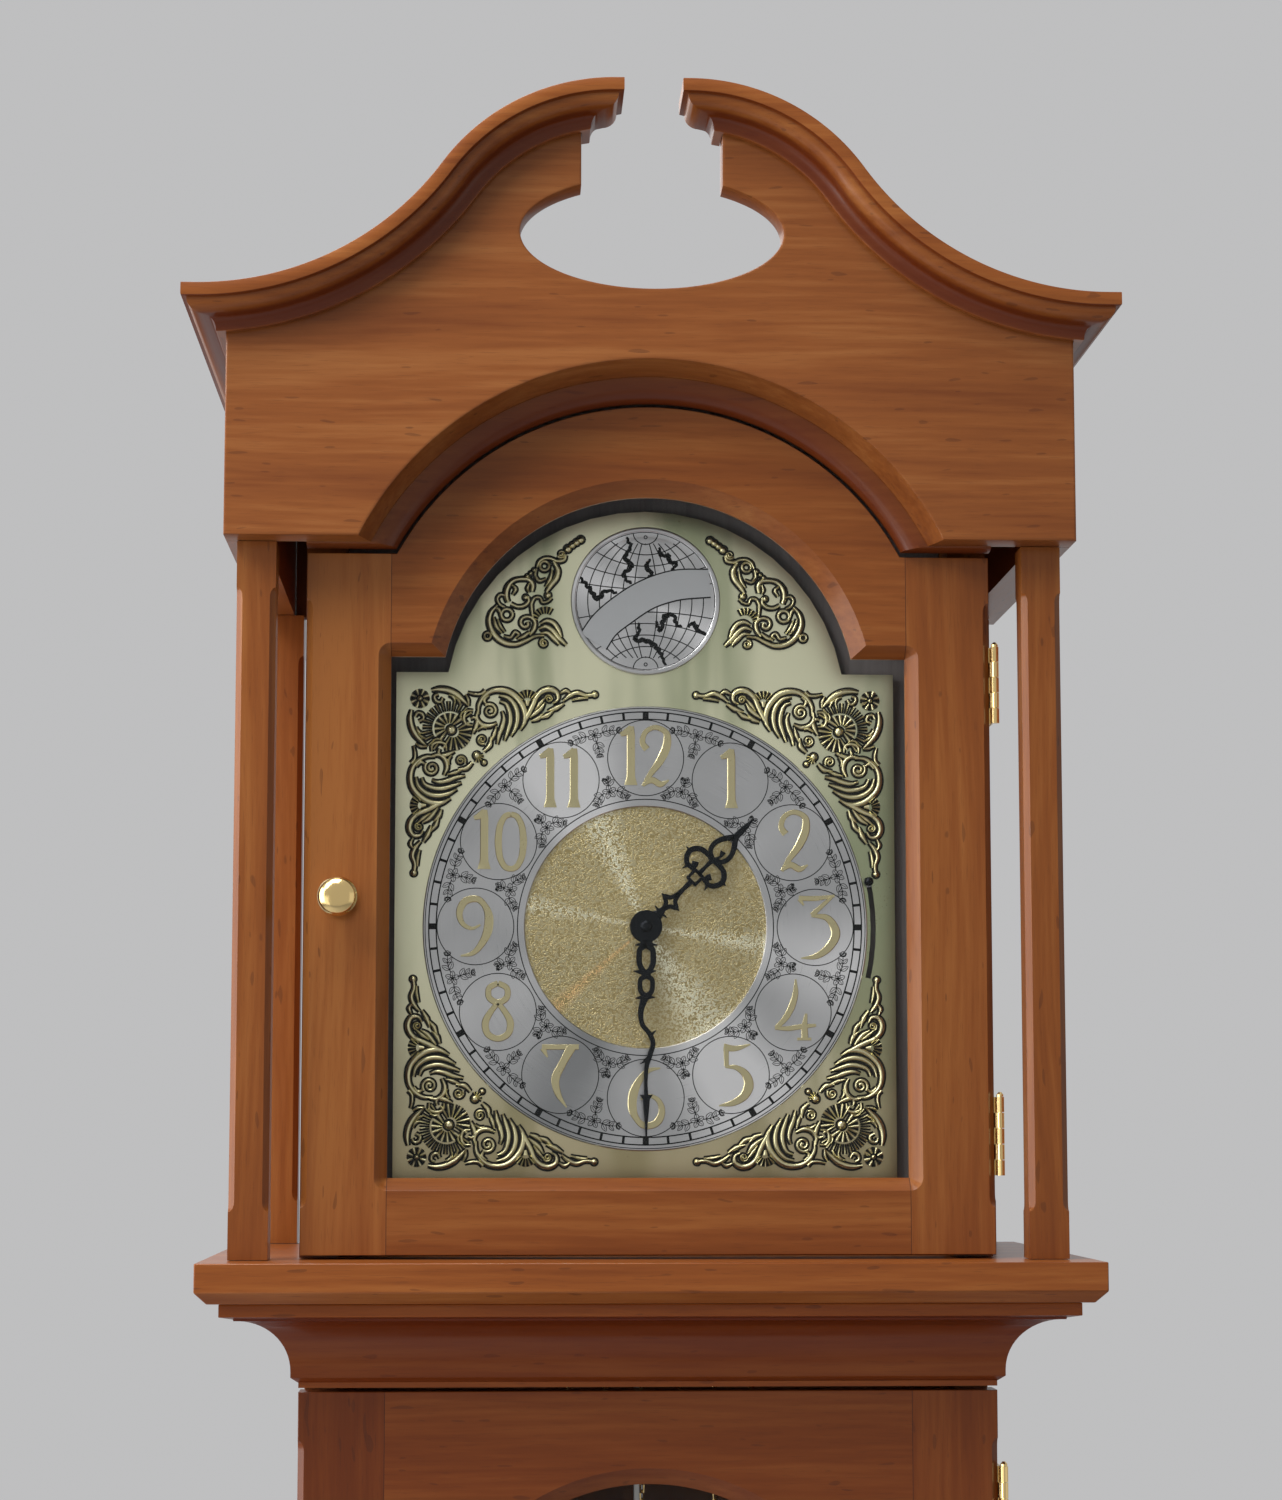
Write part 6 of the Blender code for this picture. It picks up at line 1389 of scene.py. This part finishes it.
def link_ring(pitch, wire):
    """One link as rings about its centre line, which has two straight sides and round ends
    and lies in the plane of x and z. Its inner length is one pitch."""
    half_long, half_wide = (pitch + wire) / 2, wire * 1.15
    turn = np.linspace(0.0, math.tau, 12, endpoint=False)
    x = half_wide * np.cos(turn)
    z = half_wide * np.sin(turn) + (half_long - half_wide) * np.where(np.sin(turn) >= -1e-9, 1.0, -1.0)
    outward = np.column_stack([np.cos(turn), np.zeros(12), np.sin(turn)])
    across = np.linspace(0.0, math.tau, 5, endpoint=False)
    line = np.column_stack([x, np.zeros(12), z])
    return (line[:, None, :] + outward[:, None, :] * np.cos(across)[None, :, None] * wire / 2
            + np.array([0.0, 1.0, 0.0]) * np.sin(across)[None, :, None] * wire / 2)


def turning(lean):
    """Matrices that twist each link about its length, every second one a quarter turn further,
    then lean it in the plane of x and z."""
    twist = math.pi / 4 + math.pi / 2 * (np.arange(len(lean)) % 2)
    zero, one = np.zeros(len(lean)), np.ones(len(lean))
    leaned = np.array([[np.cos(lean), zero, np.sin(lean)], [zero, one, zero],
                       [-np.sin(lean), zero, np.cos(lean)]])
    twisted = np.array([[np.cos(twist), -np.sin(twist), zero], [np.sin(twist), np.cos(twist), zero],
                        [zero, zero, one]])
    return np.einsum("ijn,jkn->nik", leaned, twisted)


class CLOCK_OT_trains(bpy.types.Operator):
    """Three chain wheels with their chains, weights and end rings."""
    bl_idname = "clock.trains"
    bl_label = "Trains"

    def execute(self, context):
        sizes, look = context.scene.clock_sizes, context.scene.clock_colours
        pitch, wire = sizes.link_pitch / MM, sizes.link_wire / MM
        chain = metal("chain_brass", "polished_brass", look.brass, 0.24, 0.1)
        shell = metal("weight_brass", "polished_brass", look.brass, 0.16, 0.05, 700.0, (1.0, 1.0, 0.1))
        link = link_ring(pitch, wire)
        for name, x in (("left", -TRAIN_PITCH), ("centre", 0.0), ("right", TRAIN_PITCH)):
            wheel_x, free_x = x + WHEEL_RADIUS, x + 2 * WHEEL_RADIUS
            for label, at, end, body in (("_weight", x, WEIGHT_TOP, "_weight"),
                                         ("_free", free_x, RING_TOP, "_end_ring")):
                count = int((WHEEL_HEIGHT - end) / pitch)
                drop = np.arange(count) + 0.5
                places = np.column_stack([np.full(count, at), np.full(count, WHEEL_DEPTH),
                                          WHEEL_HEIGHT - drop * pitch])
                places[:, 2] += (end + 0.6 * wire + pitch / 2 - places[-1, 2]) * drop / drop[-1]
                strand = Shape().repeat(link, turning(np.zeros(count)), places)
                made = piece(name + label + "_links", strand, chain, "", (name + label + "_chain",), 60.0)
                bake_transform(made)
            count = round(math.pi * WHEEL_RADIUS / pitch)
            turn = math.pi * (np.arange(count) + 0.5) / count
            places = np.column_stack([wheel_x - WHEEL_RADIUS * np.cos(turn), np.full(count, WHEEL_DEPTH),
                                      WHEEL_HEIGHT + WHEEL_RADIUS * np.sin(turn)])
            piece(name + "_wheel_links", Shape().repeat(link, turning(turn), places), chain, smooth=60.0)
            self.wheel(name, wheel_x, chain)
            self.weight(name, x, shell)
            self.ring(name, free_x, chain)
        return {"FINISHED"}

    def wheel(self, name, x, finish):
        """A grooved chain wheel with two chamfered flanges on its arbor, its profile the same
        before and behind the groove."""
        front = np.array([(1.6, -20.0), (2.5, -19.0), (2.5, -6.5), (4.6, -6.2), (4.6, -4.0), (11.2, -4.0),
                          (11.6, -3.7), (11.6, -3.2), (11.2, -2.9), (7.8, -2.2), (7.0, -1.2)])
        shape = turned(Shape(), np.concatenate([front, front[::-1] * (1.0, -1.0)]), "y",
                       (x, WHEEL_DEPTH, WHEEL_HEIGHT), 56)
        piece(name + "_wheel_turned", shape, finish, name + "_chain_wheel", (name + "_chain_wheel",))

    def weight(self, name, x, finish):
        """A lead weight in a brass shell: capped ends, turned rims and a hook rod."""
        profile = [(1.0, -0.4), (1.6, -1.0), (1.6, -9.0), (2.6, -9.6), (4.4, -10.4), (5.2, -12.4), (6.4, -13.8),
                   (10.0, -14.2), (13.4, -15.0), (14.5, -16.6), (14.5, -19.4), (13.9, -20.2), (13.9, -227.8),
                   (14.5, -228.6), (14.5, -231.4), (13.4, -233.0), (10.0, -233.8), (6.4, -234.2), (4.6, -236.0),
                   (4.4, -238.0), (2.6, -239.6), (0.0, -240.0)]
        shape = turned(Shape(), profile, "z", (x, WHEEL_DEPTH, WEIGHT_TOP), 64)
        piece(name + "_weight_shell", shape, finish, name + "_weight", (name + "_weight",))

    def ring(self, name, x, finish):
        """The pull ring: a wire bent round, hanging edge on."""
        wire, bend = 1.2, 7.0
        turn, across = np.meshgrid(np.linspace(0.0, math.tau, 40, endpoint=False),
                                   np.linspace(0.0, math.tau, 10, endpoint=False), indexing="ij")
        reach = bend + wire * np.cos(across)
        rings = np.stack([x + wire * np.sin(across), WHEEL_DEPTH + reach * np.sin(turn),
                          RING_TOP - (bend + wire) + reach * np.cos(turn)], axis=-1)
        piece(name + "_pull_ring", Shape().loft(rings, loop=True), finish, name + "_end_ring",
              (name + "_end_ring",))


class CLOCK_OT_pendulum(bpy.types.Operator):
    """Pendulum rod with its suspension, lens bob and rating nut."""
    bl_idname = "clock.pendulum"
    bl_label = "Pendulum"

    def execute(self, context):
        look = context.scene.clock_colours
        steel = metal("rod_steel", "steel", (0.45, 0.44, 0.42), 0.3, 0.06, 600.0, (1.0, 1.0, 0.06))
        brass = metal("bob_brass", "polished_brass", look.brass, 0.15)
        outline = [(-2.5, ROD_FOOT + 2.0), (-1.9, ROD_FOOT), (1.9, ROD_FOOT), (2.5, ROD_FOOT + 2.0),
                   (2.5, 212.0), (1.7, 214.0), (1.7, ROD_HEAD), (-1.7, ROD_HEAD), (-1.7, 214.0), (-2.5, 212.0)]
        levels = [(outline, ROD_FRONT + rise, inset) for rise, inset in ((0.0, 0.5), (0.15, 0.15), (0.5, 0.0))]
        levels += [(outline, ROD_BACK - rise, inset) for rise, inset in ((0.5, 0.0), (0.15, 0.15), (0.0, 0.5))]
        piece("pendulum_rod_drawn", layered(levels), steel, "pendulum", ("pendulum_rod",))
        share = np.linspace(0.0, math.radians(72), 16)
        face = np.column_stack([BOB_RADIUS * np.sin(share) / math.sin(share[-1]) * 0.965,
                                -12.5 + 10.0 * (1 - np.cos(share)) / (1 - math.cos(share[-1]))])
        rim = [(53.6, -2.9), (54.4, -3.1), (BOB_RADIUS, -2.4), (BOB_RADIUS, -1.0), (54.2, -0.1), (50.0, 0.0),
               (0.0, 0.0)]
        lens = turned(Shape(), np.concatenate([face, rim]), "y", (0.0, ROD_FRONT - 0.3, BOB_CENTRE), 96)
        piece("pendulum_bob_lens", lens, brass, "pendulum", ("pendulum_bob",))
        nut = [(2.7, 5.0), (4.6, 5.0), (5.0, 4.6), (5.0, 2.2), (4.4, 1.6), (4.4, -2.6), (4.0, -3.0),
               (2.7, -3.0)]
        middle = (0.0, (ROD_FRONT + ROD_BACK) / 2, ROD_FOOT + 5.0)
        piece("rating_nut", turned(Shape(), nut, "z", middle, 36, loop=True), brass, "pendulum")
        return {"FINISHED"}


# The camera stands where the photographer stood: its place in metres, from the middle, the
# door face and the floor, and its tilt and pan in radians.
CAMERA_PLACE, CAMERA_TILT, CAMERA_PAN, LENS, SENSOR = (-0.0741, -1.59735, 1.3243), 0.1141, -0.0438, 79.3, 36.0


class CLOCK_OT_stage(bpy.types.Operator):
    """Floor, backdrop colour, lamps and camera."""
    bl_idname = "clock.stage"
    bl_label = "Stage"

    def execute(self, context):
        sizes, look = context.scene.clock_sizes, context.scene.clock_colours
        low, high, wide = FLOOR - 20.0, FLOOR - 0.5, 3000.0
        shape = turned(Shape(), [(0.0, low), (wide, low), (wide, high), (0.0, high)], "z",
                       (0.0, -float(DATUM[1]) / MM, 0.0), 96)
        finish = Finish("stage_floor", "", Specular_IOR_Level=0.2)
        mottle = finish.noise(finish.place, 3.0, 3.0)
        finish.drive(Base_Color=finish.mix(mottle, (0.6, 0.61, 0.64), (0.66, 0.67, 0.7)),
                     Roughness=0.7 + mottle * 0.2)
        mesh = bpy.data.meshes.new("floor")
        mesh.from_pydata((np.concatenate(shape.points) * MM + DATUM).tolist(), [], shape.faces)
        mesh.materials.append(finish.material)
        floor = bpy.data.objects.new("stage_floor", mesh)
        context.scene.collection.objects.link(floor)

        world = bpy.data.worlds.new("studio")
        context.scene.world = world
        world.use_nodes = True
        tree = world.node_tree
        shade = tree.nodes["Background"]
        path = tree.nodes.new("ShaderNodeLightPath")
        seen = Wire(tree, path.outputs["Is Camera Ray"])
        for ray in ("Is Glossy Ray", "Is Transmission Ray"):
            seen = seen.math("MAXIMUM", seen, Wire(tree, path.outputs[ray]))
        blend = tree.nodes.new("ShaderNodeMix")
        blend.data_type = "RGBA"
        tree.links.new(seen.socket, blend.inputs[0])
        blend.inputs[6].default_value = (0.19, 0.19, 0.2, 1.0)
        blend.inputs[7].default_value = (*look.background, 1.0)
        tree.links.new(blend.outputs[2], shade.inputs["Color"])
        shade.inputs["Strength"].default_value = 1.0

        for name, place, aim, size, power in (
                ("key", (-1.1, -1.0, 2.5), (0.0, 0.0, 1.4), sizes.key_size, sizes.key_power),
                ("window", (-2.2, -0.55, 1.6), (0.0, 0.0, 1.5), 2.0, 44.0),
                ("top", (-0.4, -0.7, 3.1), (0.0, 0.0, 1.5), 1.0, 22.0),
                ("low", (-1.5, -1.6, 0.9), (0.0, 0.0, 0.6), 1.2, 4.0),
                ("fill", (2.2, -1.4, 1.3), (0.0, 0.0, 1.0), 1.6, 2.0),
                ("rear", (-0.6, 1.6, 2.6), (0.0, 0.0, 1.5), 1.2, 5.0)):
            lamp = bpy.data.lights.new(name, "AREA")
            lamp.energy = power
            lamp.size = size
            made = bpy.data.objects.new(name, lamp)
            made.location = place
            aim = np.array(aim) - np.array(place)
            made.rotation_euler = (math.atan2(math.hypot(aim[0], aim[1]), -aim[2]), 0.0,
                                   math.atan2(-aim[0], aim[1]))
            context.scene.collection.objects.link(made)

        camera = bpy.data.cameras.new("camera")
        camera.lens = LENS
        camera.sensor_width = SENSOR
        view = bpy.data.objects.new("camera", camera)
        x, y, z = CAMERA_PLACE
        view.location = (x, float(DATUM[1]) + y, z)
        view.rotation_euler = (math.pi / 2 + CAMERA_TILT, 0.0, CAMERA_PAN)
        context.scene.collection.objects.link(view)
        context.scene.camera = view
        context.scene.view_settings.view_transform = "Standard"
        return {"FINISHED"}


STEPS = (CLOCK_OT_pediment, CLOCK_OT_hood_boards, CLOCK_OT_trunk_and_base, CLOCK_OT_doors,
         CLOCK_OT_dial, CLOCK_OT_spandrels, CLOCK_OT_hands, CLOCK_OT_movement, CLOCK_OT_trains,
         CLOCK_OT_pendulum, CLOCK_OT_stage)


class CLOCK_PT_panel(bpy.types.Panel):
    """The clock's parts, in the order in which they are made."""
    bl_idname = "CLOCK_PT_panel"
    bl_label = "Grandmother Clock"
    bl_space_type = "VIEW_3D"
    bl_region_type = "UI"
    bl_category = "Clock"

    def draw(self, context):
        for step in STEPS:
            self.layout.operator(step.bl_idname)
        for group in (context.scene.clock_sizes, context.scene.clock_colours):
            for key in group.bl_rna.properties.keys():
                if key not in ("rna_type", "name"):
                    self.layout.prop(group, key)


CLASSES = (ClockSizes, ClockColours, *STEPS, CLOCK_PT_panel)


def register():
    for each in CLASSES:
        bpy.utils.register_class(each)
    bpy.types.Scene.clock_sizes = PointerProperty(type=ClockSizes)
    bpy.types.Scene.clock_colours = PointerProperty(type=ClockColours)


def unregister():
    del bpy.types.Scene.clock_colours
    del bpy.types.Scene.clock_sizes
    for each in reversed(CLASSES):
        bpy.utils.unregister_class(each)


def main():
    register()
    for step in STEPS:
        group, name = step.bl_idname.split(".")
        getattr(getattr(bpy.ops, group), name)()


if __name__ == "__main__":
    main()
